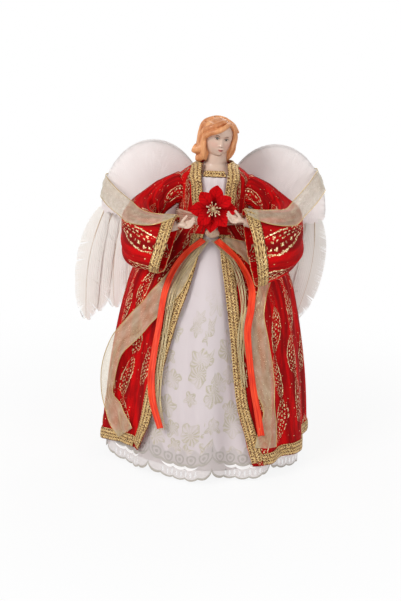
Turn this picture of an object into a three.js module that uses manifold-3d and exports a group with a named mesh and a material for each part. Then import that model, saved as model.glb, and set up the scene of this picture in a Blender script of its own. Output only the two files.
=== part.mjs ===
// An angel tree topper: a porcelain bust on a hollow cone, in a white lace-edged skirt and an open
// red robe, with wire arms, feather wings, sheer ribbons and a poinsettia at the waist.
// Sizes are in millimetres and +Z is up. The origin is the centre of the cone's mouth, where the
// tip of the tree goes in. The angel faces -Y, and left and right are the angel's own: left is +X.
import * as THREE from "three";
import { mergeVertices } from "three/addons/utils/BufferGeometryUtils.js";
import Module from "manifold-3d";

const wasm = await Module();
wasm.setup();

// Driving dimensions of the whole figure.
const robeHemHeight = 13;
const waistHeight = 252;
const collarHeight = 313;
const headAboveCollar = 26.4;
const headCentreHeight = collarHeight + headAboveCollar;
const hemHalfWidth = 110;
const hemHalfDepth = 110;
const waistHalfWidth = 37;
const waistHalfDepth = 34;
const shoulderHalfWidth = 37;
const neckHalfWidth = 18;
const neckHalfDepth = 17;
const foldDepth = 5.5;

// Clearances between pieces that lie on each other.
const seatGap = 0.35;
const clothGap = 1.2;
const cutOverrun = 4;

// Cloth, braid and ribbon stock.
const robeThickness = 1.2;
const skirtThickness = 1;
const overlayThickness = 0.9;
const braidWidth = 11.5;
const braidThickness = 1.3;
const ribbonWidth = 25;
const ribbonThickness = 0.7;
const satinRibbonWidth = 6.4;
const strandRibbonWidth = 6;

const degrees = Math.PI / 180;
const fullTurn = 2 * Math.PI;
const vec = (x, y, z) => new THREE.Vector3(x, y, z);
const mix = (a, b, t) => a + (b - a) * t;
const clamp01 = (t) => Math.min(1, Math.max(0, t));
const smooth = (t) => clamp01(t) ** 2 * (3 - 2 * clamp01(t));

// Reads a smooth curve through the table's points: xs rise, and each y belongs to one x.
function curveAt(xs, ys, x) {
  const last = xs.length - 1;
  if (x <= xs[0]) return ys[0];
  if (x >= xs[last]) return ys[last];
  let i = 0;
  while (x > xs[i + 1]) i++;
  const slope = (k) => {
    const a = Math.max(0, k - 1);
    const b = Math.min(last, k + 1);
    return (ys[b] - ys[a]) / (xs[b] - xs[a]);
  };
  const h = xs[i + 1] - xs[i];
  const t = (x - xs[i]) / h;
  const rise = ys[i + 1] - ys[i];
  const m0 = slope(i) * h;
  const m1 = slope(i + 1) * h;
  return ys[i] + t * (m0 + t * (3 * rise - 2 * m0 - m1 + t * (m0 + m1 - 2 * rise)));
}

// Makes a closed geometry from corner points and triangles, turned so that its faces point out.
function bodyFrom(points, faces) {
  let volume = 0;
  for (const [a, b, c] of faces) {
    volume += points[a].dot(vec(0, 0, 0).crossVectors(points[b], points[c]));
  }
  const index = faces.flatMap(([a, b, c]) => (volume < 0 ? [a, c, b] : [a, b, c]));
  const geometry = new THREE.BufferGeometry();
  const flat = points.flatMap((p) => [p.x, p.y, p.z]);
  geometry.setAttribute("position", new THREE.Float32BufferAttribute(flat, 3));
  geometry.setIndex(index);
  return geometry;
}

// Makes a closed body between an outer and an inner grid of points, each a function of (s, t).
function between(outer, inner, across, along, closed = false) {
  const columns = closed ? across : across + 1;
  const points = [];
  const faces = [];
  for (const side of [outer, inner]) {
    for (let j = 0; j <= along; j++) {
      for (let i = 0; i < columns; i++) points.push(side(i / across, j / along));
    }
  }
  const layer = columns * (along + 1);
  const at = (side, i, j) => side * layer + j * columns + (i % columns);
  const quad = (a, b, c, d) => faces.push([a, b, c], [a, c, d]);
  for (let j = 0; j < along; j++) {
    for (let i = 0; i < across; i++) {
      quad(at(0, i, j), at(0, i + 1, j), at(0, i + 1, j + 1), at(0, i, j + 1));
      quad(at(1, i, j), at(1, i, j + 1), at(1, i + 1, j + 1), at(1, i + 1, j));
    }
  }
  for (let i = 0; i < across; i++) {
    quad(at(0, i + 1, 0), at(0, i, 0), at(1, i, 0), at(1, i + 1, 0));
    quad(at(0, i, along), at(0, i + 1, along), at(1, i + 1, along), at(1, i, along));
  }
  if (!closed) {
    for (let j = 0; j < along; j++) {
      quad(at(0, 0, j), at(0, 0, j + 1), at(1, 0, j + 1), at(1, 0, j));
      quad(at(0, across, j + 1), at(0, across, j), at(1, across, j), at(1, across, j + 1));
    }
  }
  return bodyFrom(points, faces);
}

// Makes a thin sheet of even thickness along rows of points.
function sheetFrom(rows, thickness) {
  const lastRow = rows.length - 1;
  const last = rows[0].length - 1;
  const spot = (lift) => (s, t) => {
    const i = Math.round(s * last);
    const j = Math.round(t * lastRow);
    const across = rows[j][Math.min(last, i + 1)].clone().sub(rows[j][Math.max(0, i - 1)]);
    const along = rows[Math.min(lastRow, j + 1)][i].clone().sub(rows[Math.max(0, j - 1)][i]);
    return rows[j][i].clone().addScaledVector(across.cross(along).normalize(), lift);
  };
  return between(spot(thickness / 2), spot(-thickness / 2), last, lastRow);
}

// Makes a closed body from rings of points, with each end closed to a point.
function skin(rings, startTip, endTip) {
  const sides = rings[0].length;
  const points = rings.flat();
  const start = points.push(startTip) - 1;
  const end = points.push(endTip) - 1;
  const last = (rings.length - 1) * sides;
  const faces = [];
  for (let i = 0; i < sides; i++) {
    const next = (i + 1) % sides;
    for (let j = 0; j + 1 < rings.length; j++) {
      const a = j * sides;
      const b = a + sides;
      faces.push([a + i, a + next, b + next], [a + i, b + next, b + i]);
    }
    faces.push([start, next, i], [end, last + i, last + next]);
  }
  return bodyFrom(points, faces);
}

// Makes a round tube along points, with its radius a function of the share of its length.
function tube(points, radiusAt, sides, steps, flatten = 1) {
  const curve = new THREE.CatmullRomCurve3(points, false, "centripetal");
  const frames = curve.computeFrenetFrames(steps, false);
  const rings = [];
  for (let j = 0; j <= steps; j++) {
    const centre = curve.getPointAt(j / steps);
    const ring = [];
    for (let i = 0; i < sides; i++) {
      const angle = (fullTurn * i) / sides;
      const p = centre.clone();
      p.addScaledVector(frames.normals[j], Math.cos(angle) * radiusAt(j / steps));
      p.addScaledVector(frames.binormals[j], Math.sin(angle) * radiusAt(j / steps) * flatten);
      ring.push(p);
    }
    rings.push(ring);
  }
  return skin(rings, curve.getPointAt(0), curve.getPointAt(1));
}

// Makes an ellipsoid with its poles up and down.
function ellipsoid(centre, halfX, halfY, halfZ, around, rows) {
  const rings = [];
  for (let j = 1; j < rows; j++) {
    const lift = -Math.cos((Math.PI * j) / rows);
    const reach = Math.sqrt(1 - lift * lift);
    const ring = [];
    for (let i = 0; i < around; i++) {
      const angle = (fullTurn * i) / around;
      const offset = vec(halfX * reach * Math.sin(angle), -halfY * reach * Math.cos(angle), halfZ * lift);
      ring.push(centre.clone().add(offset));
    }
    rings.push(ring);
  }
  return skin(rings, centre.clone().add(vec(0, 0, -halfZ)), centre.clone().add(vec(0, 0, halfZ)));
}

// A geometry as a solid for joining and cutting, and a solid as a geometry again.
function toSolid(geometry) {
  const bare = new THREE.BufferGeometry();
  bare.setAttribute("position", geometry.getAttribute("position").clone());
  if (geometry.index) bare.setIndex(geometry.index.clone());
  const merged = mergeVertices(bare, 1e-4);
  return new wasm.Manifold(
    new wasm.Mesh({
      numProp: 3,
      vertProperties: new Float32Array(merged.attributes.position.array),
      triVerts: new Uint32Array(merged.index.array),
    }),
  );
}

function toGeometry(solid) {
  const mesh = solid.getMesh();
  const geometry = new THREE.BufferGeometry();
  geometry.setAttribute("position", new THREE.Float32BufferAttribute(mesh.vertProperties, 3));
  geometry.setIndex(Array.from(mesh.triVerts));
  return geometry;
}

const join = (...parts) => toGeometry(parts.map(toSolid).reduce((a, b) => a.add(b)));
const cut = (body, ...tools) => toGeometry(tools.map(toSolid).reduce((a, b) => a.subtract(b), toSolid(body)));

// The robe's surface: an oval that flares from the waist to the hem and closes over the shoulders.
const flareHeightShares = [0, 0.226, 0.42, 0.657, 0.78, 0.887, 0.95, 1];
const flareWidthShares = [1, 0.94, 0.86, 0.72, 0.6, 0.37, 0.18, 0];
const flareDepthShares = [1, 0.91, 0.75, 0.55, 0.43, 0.28, 0.15, 0];
const chestHeightShares = [0, 0.16, 0.38, 0.62, 0.77, 0.85, 0.93, 1];
const chestWidthShares = [1, 0.95, 0.95, 1, 1, 0.74, 0.37, 0];
const chestDepthShares = [1, 0.82, 0.7, 0.64, 0.6, 0.48, 0.24, 0];
const foldCount = 11;
const lesserFoldCount = 6;
const lesserFoldShare = 0.45;

const skirtShare = (z) => (z - robeHemHeight) / (waistHeight - robeHemHeight);
const chestShare = (z) => (z - waistHeight) / (collarHeight - waistHeight);

function halfWidthAt(z) {
  if (z < waistHeight) {
    return mix(waistHalfWidth, hemHalfWidth, curveAt(flareHeightShares, flareWidthShares, skirtShare(z)));
  }
  return mix(neckHalfWidth, shoulderHalfWidth, curveAt(chestHeightShares, chestWidthShares, chestShare(z)));
}

function halfDepthAt(z) {
  if (z < waistHeight) {
    return mix(waistHalfDepth, hemHalfDepth, curveAt(flareHeightShares, flareDepthShares, skirtShare(z)));
  }
  return mix(neckHalfDepth, waistHalfDepth, curveAt(chestHeightShares, chestDepthShares, chestShare(z)));
}

// How far the folds push the cloth out at this angle and height.
function foldAt(angle, z) {
  const rise = clamp01(skirtShare(z));
  const wave = Math.cos(foldCount * angle) + lesserFoldShare * Math.cos(lesserFoldCount * angle + 1);
  return (foldDepth * (1 - rise * rise) * wave) / (1 + lesserFoldShare);
}

// A point of the robe's surface at an angle from the front, positive to +X, pushed out by offset.
function robePoint(angle, z, offset = 0) {
  const push = foldAt(angle, z) + offset;
  const x = (halfWidthAt(z) + push) * Math.sin(angle);
  const y = -(halfDepthAt(z) + push) * Math.cos(angle);
  return vec(x, y, z);
}

// A strip laid on the robe along a route of [angle in degrees, height], offset from its surface.
function stripOnRobe(route, width, thickness, offsetAt, across, along) {
  const path = new THREE.CatmullRomCurve3(
    route.map(([a, z]) => vec(a * degrees * hemHalfWidth, z, 0)),
    false,
    "centripetal",
  );
  const spot = (s, t, lift) => {
    const here = path.getPoint(t);
    const ahead = path.getPoint(Math.min(1, t + 0.01));
    const behind = path.getPoint(Math.max(0, t - 0.01));
    const angle = here.x / hemHalfWidth;
    const z = here.y;
    const centre = robePoint(angle, z);
    const tangent = robePoint(ahead.x / hemHalfWidth, ahead.y).sub(robePoint(behind.x / hemHalfWidth, behind.y));
    const round = robePoint(angle + degrees, z).sub(centre);
    const up = robePoint(angle, z + braidThickness).sub(centre);
    const normal = round.clone().cross(up).normalize();
    const side = normal.clone().cross(tangent).normalize();
    const shift = width(t) * (s - 0.5);
    const turn = (side.dot(round) / round.lengthSq()) * degrees * shift;
    const climb = (side.dot(up) / up.lengthSq()) * braidThickness * shift;
    return robePoint(angle + turn, z + climb, offsetAt(s, t) + lift);
  };
  return between((s, t) => spot(s, t, thickness), (s, t) => spot(s, t, 0), across, along);
}

// The hollow cone that slips over the tip of the tree, and that the figure stands on.
const coneBaseRadius = 78;
const coneTopRadius = 13;
const coneBelowWaist = 6;
const coneTopHeight = waistHeight - coneBelowWaist;
const coneWall = 2;
const coneSides = 32;

const coneRadiusAt = (z) => mix(coneBaseRadius, coneTopRadius, z / coneTopHeight);

function makeCone() {
  const profile = [
    new THREE.Vector2(coneBaseRadius - coneWall, 0),
    new THREE.Vector2(coneBaseRadius, 0),
    new THREE.Vector2(coneTopRadius, coneTopHeight),
    new THREE.Vector2(coneTopRadius - coneWall, coneTopHeight),
    new THREE.Vector2(coneBaseRadius - coneWall, 0),
  ];
  return new THREE.LatheGeometry(profile, coneSides).rotateX(Math.PI / 2);
}

// The white skirt on the cone, and the sheer overlay with its scalloped lace border.
const robeToSkirtGap = 2;
const skirtHemHeight = 14;
const overlayTopHeight = coneTopHeight;
const overlayColumns = 60;
const scallopCount = 10;
const scallopDepth = 11;
const scallopTipHeight = 1.2;
const scallopTurn = 23 * degrees;

// The overlay's lower edge: round tongues that hang from a level line.
function scallopEdgeAt(angle) {
  const wave = Math.abs(Math.cos(((angle - scallopTurn) * scallopCount) / 2));
  return scallopTipHeight + scallopDepth * (1 - Math.sqrt(wave));
}

// Both skirts hang in the same rows above their lower edges.
const skirtRows = 5;
const skirtLowRowHeight = 26;
const skirtRowAt = (low, t) =>
  t === 0 ? low : mix(skirtLowRowHeight, overlayTopHeight, (t * skirtRows - 1) / (skirtRows - 1));

function makeOverlay() {
  const out = -(robeThickness + robeToSkirtGap);
  const spot = (lift) => (s, t) => {
    const angle = s * fullTurn;
    return robePoint(angle, skirtRowAt(scallopEdgeAt(angle), t), out + lift);
  };
  return between(spot(0), spot(-overlayThickness), overlayColumns, skirtRows, true);
}

// The satin skirt hangs smoothly, just inside the overlay's innermost folds.
function makeSkirt() {
  const out = -(robeThickness + robeToSkirtGap + overlayThickness);
  const spot = (lift) => (s, t) => {
    const angle = s * fullTurn;
    const z = skirtRowAt(skirtHemHeight, t);
    const rise = clamp01(skirtShare(z));
    const inset = out - mix(clothGap, seatGap, rise ** 4) - foldDepth * (1 - rise * rise) + lift;
    return vec((halfWidthAt(z) + inset) * Math.sin(angle), -(halfDepthAt(z) + inset) * Math.cos(angle), z);
  };
  return between(spot(0), spot(-skirtThickness), 30, skirtRows, true);
}

// The robe: a back and two open fronts, sewn at the sides and round the sleeves' armholes.
const sideSeamAngle = 97 * degrees;
const seamGapAngle = 0.35 * degrees;
const robeSkirtRows = 8;
const robeChestRows = 6;
const armholeRadius = 13;
const armholeHeightShare = 0.541;
const armholeHeight = mix(waistHeight, collarHeight, armholeHeightShare);
const edgeHeightShares = [0, 0.09, 0.15, 0.25, 0.36, 0.5, 0.63, 0.75, 0.87, 1];
const leftEdgeDegrees = [27.5, 24.5, 22.8, 19, 16.8, 15.2, 13.2, 11, 9, 8];
const rightEdgeDegrees = [38, 33, 30.5, 28.5, 26.5, 23.5, 19.8, 15, 12, 10];
const collarHeightShares = [0, 0.2, 0.45, 0.7, 0.85, 1];
const leftCollarDegrees = [8, 14, 18, 20, 26, 44];
const rightCollarDegrees = [10, 14, 18, 20, 26, 44];

// The angle of a front's open edge from the middle, for the angel's left (+1) or right (-1).
function openEdgeAt(side, z) {
  const lower = side > 0 ? leftEdgeDegrees : rightEdgeDegrees;
  const upper = side > 0 ? leftCollarDegrees : rightCollarDegrees;
  const angle = z < waistHeight
    ? curveAt(edgeHeightShares, lower, skirtShare(z))
    : curveAt(collarHeightShares, upper, chestShare(z));
  return side * angle * degrees;
}

// Rows of the robe's cloth: some from hem to waist, and closer ones from waist to collar.
const chestRow = (row) => mix(waistHeight, collarHeight, row / robeChestRows);
function robeRowHeight(t) {
  const row = t * (robeSkirtRows + robeChestRows);
  if (row <= robeSkirtRows) return mix(robeHemHeight, waistHeight, row / robeSkirtRows);
  return chestRow(row - robeSkirtRows);
}

// The fronts' hems rise towards the open edges, most on the angel's right.
const leftHemRise = 4;
const rightHemRise = 11;
const hemRiseStart = 88 * degrees;
const hemRiseTurn = 42 * degrees;

function raised(angle, z) {
  const rise = angle > 0 ? leftHemRise : rightHemRise;
  return z + rise * smooth((hemRiseStart - Math.abs(angle)) / hemRiseTurn) * (1 - clamp01(skirtShare(z))) ** 3;
}

function makeRobePanel(startAt, endAt, across) {
  const spot = (lift) => (s, t) => {
    const level = robeRowHeight(t);
    const angle = mix(startAt(level), endAt(level), s);
    return robePoint(angle, raised(angle, level), lift);
  };
  const panel = between(spot(0), spot(-robeThickness), across, robeSkirtRows + robeChestRows);
  const armhole = new THREE.CylinderGeometry(
    armholeRadius,
    armholeRadius,
    2 * (shoulderHalfWidth + cutOverrun),
    16,
  );
  return cut(panel, armhole.rotateZ(Math.PI / 2).translate(0, 0, armholeHeight));
}

const makeRobeFront = (side) =>
  makeRobePanel((z) => openEdgeAt(side, z), () => side * (sideSeamAngle - seamGapAngle), 11);
const makeRobeBack = () =>
  makeRobePanel(() => sideSeamAngle + seamGapAngle, () => fullTurn - sideSeamAngle - seamGapAngle, 24);

// The torso: a wadded form on the cone's tip, in a white bodice, crossed by the arm wire.
const torsoOverCone = 18;
const torsoLowHeight = coneTopHeight - torsoOverCone;
const bodiceRows = 5;
const torsoRows = 4;
const torsoLowRows = 2;
const torsoTopHeight = chestRow(torsoRows);
const bodiceThickness = 1;
const robeToBodiceGap = 1.4;
const bodiceToTorsoGap = 0.9;

const bodiceOffset = -(robeThickness + robeToBodiceGap);
const torsoOffset = bodiceOffset - bodiceThickness - bodiceToTorsoGap;

// The torso narrows below the waist, so that it stays inside the skirts.
const torsoPoint = (angle, z) => {
  const below = Math.max(0, waistHeight - z) / (waistHeight - torsoLowHeight);
  const level = Math.max(z, waistHeight);
  const p = robePoint(angle, level, torsoOffset).multiplyScalar(1 - 0.32 * below);
  return p.setZ(z);
};

function makeTorso() {
  const rings = [];
  const heights = [];
  for (let row = torsoRows; row >= 0; row--) heights.unshift(chestRow(row));
  for (let row = torsoLowRows - 1; row >= 0; row--) {
    heights.unshift(mix(torsoLowHeight, waistHeight, row / torsoLowRows));
  }
  for (const z of heights) {
    rings.push(Array.from({ length: 20 }, (_, i) => torsoPoint((fullTurn * i) / 20, z)));
  }
  const body = skin(rings, vec(0, 0, torsoLowHeight), vec(0, 0, torsoTopHeight));
  const socketHeight = coneTopHeight + seatGap - (torsoLowHeight - cutOverrun);
  const socket = new THREE.CylinderGeometry(
    coneTopRadius + 2 * seatGap,
    coneRadiusAt(torsoLowHeight - cutOverrun) + 2 * seatGap,
    socketHeight,
    coneSides,
  );
  socket.rotateX(Math.PI / 2).translate(0, 0, coneTopHeight + seatGap - socketHeight / 2);
  return cut(body, socket, makeWire(wireRadius + 2 * seatGap));
}

function makeBodice() {
  const spot = (lift) => (s, t) => robePoint(s * fullTurn, chestRow(t * bodiceRows), bodiceOffset + lift);
  const armhole = new THREE.CylinderGeometry(armholeRadius, armholeRadius, 2 * shoulderHalfWidth, 16);
  return cut(
    between(spot(0), spot(-bodiceThickness), 20, bodiceRows, true),
    armhole.rotateZ(Math.PI / 2).translate(0, 0, armholeHeight),
  );
}

// The sleeves: wide bells that hang from shoulder to wrist, open at the cuff. Half of each is given
// as sections along it: the plan of its middle line, its middle's height and its half sizes.
const sleeveThickness = 1.1;
const sleeveXs = [38.6, 57, 72, 72.5, 56, 34];
const sleeveYs = [0, -1, -11, -38, -63, -71];
const sleeveDrops = [0, 13, 31, 41, 45, 46];
const sleeveHalfHeights = [15, 18, 22, 24.5, 26.5, 28];
const sleeveHalfDepths = [14, 15.5, 17, 15, 12.3, 9];
const sleeveSag = 0.16;
const sleeveSplay = 8;
const cuffLean = 6.5;
const leftCuffOut = 2.5;
const rightCuffOut = 6.5;
const leftCuffDrop = 11;
const rightCuffDrop = -4;
const leftCuffRise = 6;
const rightCuffRise = -1;
const sleeveRoundShare = 0.72;
const cuffBandShare = 0.1;
const cuffBandRows = 2;
const sleeveRows = 7;
const cuffRise = (side) => (side > 0 ? leftCuffRise : rightCuffRise);

const sectionShares = sleeveXs.map((_, i) => i / (sleeveXs.length - 1));
const sleeveLine = new THREE.CatmullRomCurve3(
  sleeveXs.map((x, i) => vec(x, sleeveYs[i], armholeHeight - sleeveDrops[i])),
  false,
  "centripetal",
);

// The middle of a sleeve at share t of the way from armhole to cuff, for the left or right side.
function sleeveCentre(side, t) {
  const p = sleeveLine.getPoint(t);
  const out = (side > 0 ? leftCuffOut : rightCuffOut) * smooth(2 * t - 1);
  return vec(p.x + out, p.y, p.z + cuffRise(side) * smooth(t));
}

// A point of a sleeve's surface, at an angle round it from the top.
function sleevePoint(side, angle, t, offset = 0) {
  const centre = sleeveCentre(side, t);
  const heading = sleeveLine.getTangent(t).setZ(0).normalize();
  const out = vec(-heading.y, heading.x, 0);
  const high = curveAt(sectionShares, sleeveHalfHeights, t) + offset;
  const deep = curveAt(sectionShares, sleeveHalfDepths, t) + offset;
  const rounded = (wave) => Math.sign(wave) * Math.abs(wave) ** sleeveRoundShare;
  const full = 1 - sleeveSag * Math.cos(angle) * smooth(t);
  const splay = (sleeveSplay * smooth(t) * (1 - Math.cos(angle))) / 2;
  const outward = splay * Math.sign(out.dot(vec(1, -1, 0)));
  centre.addScaledVector(out, deep * rounded(Math.sin(angle)) * full + outward);
  centre.z += high * rounded(Math.cos(angle));
  centre.x -= cuffLean * rounded(Math.cos(angle)) * smooth(2 * t - 1);
  const drop = side > 0 ? leftCuffDrop : rightCuffDrop;
  centre.z -= drop * smooth(1.7 * t - 0.7) * ((1 - Math.cos(angle)) / 2) ** 2;
  return centre.setX(centre.x * side);
}

// Rows of a sleeve's cloth: the last of them lie under the cuff's braid.
function sleeveRowShare(row) {
  if (row <= sleeveRows) return mix(0, 1 - cuffBandShare, row / sleeveRows);
  return mix(1 - cuffBandShare, 1, (row - sleeveRows) / cuffBandRows);
}

function makeSleeve(side) {
  const rows = sleeveRows + cuffBandRows;
  const spot = (lift) => (s, t) => sleevePoint(side, s * fullTurn, sleeveRowShare(t * rows), lift);
  return between(spot(0), spot(-sleeveThickness), 16, rows, true);
}

// The arms: one wire from hand to hand through the torso, with a wadded arm on each side of it.
// An arm runs along the upper side of its sleeve.
const wireRadius = 1.1;
const armRootX = 34.6;
const upperArmRadius = 9;
const forearmRadius = 5.8;
const wristToHandGap = 1.2;
const wristRadius = 4.4;
const armLiftShare = 0.5;
const wristLiftShare = 0.79;
const wireInHand = 6;
const handRiseDegrees = 18;

const armShares = [0, 0.5, 0.8, 1];
const armRadii = [upperArmRadius, upperArmRadius, forearmRadius, wristRadius];

function armPoint(side, t) {
  const high = curveAt(sectionShares, sleeveHalfHeights, t);
  const radius = curveAt(armShares, armRadii, t);
  const p = sleeveCentre(side, t);
  const lift = high * mix(armLiftShare, wristLiftShare, smooth(2 * t - 1)) - radius * 0.3;
  const lean = cuffLean * wristLiftShare * smooth(2 * t - 1);
  return vec(side * (p.x - lean), p.y, p.z + Math.max(0, lift) * smooth(t * 2.5));
}

const handDirection = (side) => {
  const plan = sleeveLine.getTangent(1);
  return vec(side * plan.x, plan.y * 0.4, Math.abs(plan.x) * Math.tan(handRiseDegrees * degrees)).normalize();
};
const wristPoint = (side) => armPoint(side, 1);

function armRoute(side) {
  const root = vec(side * armRootX, 0, armholeHeight);
  const shares = [0.04, 0.2, 0.4, 0.6, 0.78, 0.9];
  const lead = wristPoint(side).addScaledVector(handDirection(side), -wristRadius);
  return [root, ...shares.map((t) => armPoint(side, t)), lead, wristPoint(side)];
}

function makeWire(radius) {
  const end = (side) => wristPoint(side).addScaledVector(handDirection(side), wireInHand);
  const route = [end(1), ...armRoute(1).reverse(), ...armRoute(-1), end(-1)];
  return tube(route, () => radius, 6, 34);
}

function makeArm(side) {
  const radiusAt = (t) => curveAt(armShares, armRadii, t);
  return cut(tube(armRoute(side), radiusAt, 10, 9), makeWire(wireRadius + 2 * seatGap));
}

// The hands: cast porcelain, each with a bore in its wrist for the arm wire.
const palmLength = 9;
const palmHalfWidth = 4.6;
const palmHalfThickness = 2.6;
const fingerLength = 10;
const fingerRadius = 1.35;
const thumbRadius = 1.5;

function makeHand(side) {
  const ahead = handDirection(side);
  const up = vec(0, 0, 1);
  const out = ahead.clone().cross(up).normalize().multiplyScalar(side);
  const wrist = wristPoint(side).addScaledVector(ahead, wristToHandGap);
  const spot = (a, u, o) => wrist.clone().addScaledVector(ahead, a).addScaledVector(up, u).addScaledVector(out, o);
  const heel = spot(0, 0, 0);
  const knuckles = spot(palmLength, -palmHalfThickness, 0);
  const palmShares = [wristRadius * 0.85, palmHalfWidth * 0.9, palmHalfWidth, palmHalfWidth * 0.6];
  const palmWidth = (t) => curveAt([0, 0.35, 0.8, 1], palmShares, t);
  const flatness = (palmHalfThickness / palmHalfWidth) * 1.25;
  const palm = tube([heel, heel.clone().lerp(knuckles, 0.5), knuckles], palmWidth, 9, 4, flatness);
  const fingers = [-1.5, -0.5, 0.5, 1.5].map((k) => {
    const spread = k * fingerRadius * 1.55;
    const long = fingerLength * (1 - 0.09 * Math.abs(k - 0.5));
    const base = spot(palmLength * 0.85, spread * 0.75 - palmHalfThickness * 0.6, spread * 0.75);
    const middle = spot(palmLength + long * 0.45, spread * 0.8 - palmHalfThickness * 0.9, spread * 0.8);
    const tip = spot(palmLength + long * 0.92, spread * 0.8 + palmHalfThickness * 0.35, spread * 0.85);
    return tube([base, middle, tip], (t) => fingerRadius * (1 - 0.3 * t), 5, 3);
  });
  const thumb = tube(
    [
      spot(palmLength * 0.35, palmHalfThickness * 0.3, 0),
      spot(palmLength * 0.75, palmHalfWidth, 0),
      spot(palmLength * 1.15, palmHalfWidth + palmHalfThickness, 0),
    ],
    (t) => thumbRadius * (1 - 0.3 * t),
    5,
    3,
  );
  const bore = tube(
    [heel.clone().addScaledVector(ahead, -cutOverrun), heel.clone().addScaledVector(ahead, wireInHand)],
    () => wireRadius + 2 * seatGap,
    6,
    1,
  );
  return cut(join(palm, ...fingers, thumb), bore);
}

function makeCuffTrim(side) {
  const spot = (lift) => (s, t) =>
    sleevePoint(side, s * fullTurn, mix(1 - cuffBandShare, 1, t), seatGap + lift);
  return between(spot(braidThickness), spot(0), 16, cuffBandRows, true);
}

// Gold braid on the robe's edges: fronts, collar and hem, and across the neckline.
const braidLift = 0.9;
const hemTrimRise = 1.5;
const cornerShare = 1.2;

function makeFrontTrim(side) {
  const rows = [0.022, 0.16, 0.28, 0.4, 0.52, 0.64, 0.76, 0.87, 0.97];
  const route = rows.map((share) => {
    const z = mix(robeHemHeight, waistHeight, share);
    const half = braidWidth / 2 / halfWidthAt(z);
    const angle = openEdgeAt(side, z) + side * half;
    return [angle / degrees, raised(angle, z)];
  });
  return stripOnRobe(route, () => braidWidth, braidThickness, () => braidLift, 2, 18);
}

function makeCollarTrim(side) {
  const rows = [0.24, 0.34, 0.45, 0.6, 0.72, 0.82, 0.91];
  const route = rows.map((share) => {
    const z = mix(waistHeight, collarHeight, share);
    const half = braidWidth / 2 / halfWidthAt(z);
    return [(openEdgeAt(side, z) + side * half) / degrees, z];
  });
  const nape = mix(waistHeight, collarHeight, 0.9);
  route.push([side * 100, nape], [side * 140, nape], [side * 178, nape]);
  return stripOnRobe(route, (t) => braidWidth * mix(1, 0.5, smooth(t * 2 - 0.7)), braidThickness, () => braidLift, 2, 20);
}

function makeHemTrim(startAt, endAt, rise, along) {
  const level = robeHemHeight + hemTrimRise + braidWidth / 2;
  const spot = (lift) => (s, t) => {
    const z = level + braidWidth * (s - 0.5);
    const angle = mix(startAt(z), endAt(z), t);
    return robePoint(angle, rise(angle, level) + z - level, braidLift + lift);
  };
  return between(spot(braidThickness), spot(0), 1, along);
}

// A front's hem braid starts beside the front braid and follows its slant.
function makeFrontHemTrim(side) {
  const startAt = (z) => openEdgeAt(side, z) + (side * cornerShare * braidWidth) / halfWidthAt(z);
  return makeHemTrim(startAt, () => side * (sideSeamAngle - 2 * seamGapAngle), raised, 10);
}

const makeBackHemTrim = () =>
  makeHemTrim(
    () => sideSeamAngle + 2 * seamGapAngle,
    () => fullTurn - sideSeamAngle - 2 * seamGapAngle,
    (angle, z) => z,
    24,
  );

const neckTrimBelowCollar = 8;
const neckTrimHeight = collarHeight - neckTrimBelowCollar;
const neckTrimWidth = 5.5;
const neckTrimTurn = 21 * degrees;
const neckTrimLift = 0.35;

function makeNeckTrim() {
  const spot = (lift) => (s, t) => {
    const z = neckTrimHeight - braidThickness + neckTrimWidth * (s - 0.5);
    return robePoint(mix(-neckTrimTurn, neckTrimTurn, t), z, bodiceOffset + neckTrimLift + lift);
  };
  return between(spot(braidThickness), spot(0), 2, 8);
}

// The bust: shoulder plate, neck and head in one porcelain casting, with the head turned and bowed.
const plateBelowCollar = 2;
const plateTopHeight = collarHeight - plateBelowCollar;
const neckRadius = 10;
const skullHalfWidth = 15.4;
const skullFrontDepth = 16.4;
const skullBackDepth = 16.5;
const skullHalfHeight = 20;
const noseLength = 2.8;
const socketDepth = 1.3;
const lipFullness = 0.9;
const headCentreX = 1.5;
const headCentreY = -5;
const headYaw = 17 * degrees;
const headBow = 11 * degrees;
const headTilt = 4 * degrees;

const headMatrix = new THREE.Matrix4()
  .makeTranslation(headCentreX, headCentreY, headCentreHeight)
  .multiply(new THREE.Matrix4().makeRotationY(headTilt))
  .multiply(new THREE.Matrix4().makeRotationZ(headYaw))
  .multiply(new THREE.Matrix4().makeRotationX(headBow));

// A soft bump on the face, at places given as shares of the skull's half sizes.
const bump = (x, z, xShare, zShare, xReach, zReach) =>
  Math.exp(-(((x / skullHalfWidth - xShare) / xReach) ** 2) - ((z / skullHalfHeight - zShare) / zReach) ** 2);

const skullHeightShares = [-1, -0.9, -0.72, -0.5, -0.2, 0.15, 0.5, 0.8, 1];
const skullWidthShares = [0.24, 0.42, 0.66, 0.83, 0.96, 1, 0.93, 0.64, 0.1];
const skullFrontShares = [0.5, 0.78, 0.88, 0.9, 0.92, 0.97, 0.95, 0.66, 0.1];
const skullBackShares = [0.05, 0.12, 0.3, 0.6, 0.86, 1, 0.95, 0.66, 0.1];

function skullPoint(angle, share) {
  const wide = skullHalfWidth * curveAt(skullHeightShares, skullWidthShares, share);
  const front = skullFrontDepth * curveAt(skullHeightShares, skullFrontShares, share);
  const back = skullBackDepth * curveAt(skullHeightShares, skullBackShares, share);
  const z = skullHalfHeight * share;
  const x = wide * Math.sin(angle);
  const facing = Math.cos(angle);
  let y = facing > 0 ? -front * facing : -back * facing;
  if (facing > 0) {
    y -= noseLength * bump(x, z, 0, -0.26, 0.16, 0.17) * facing;
    y += socketDepth * (bump(x, z, 0.36, 0.04, 0.24, 0.16) + bump(x, z, -0.36, 0.04, 0.24, 0.16));
    y -= lipFullness * bump(x, z, 0, -0.56, 0.26, 0.09);
  }
  return vec(x, y, z);
}

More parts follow.
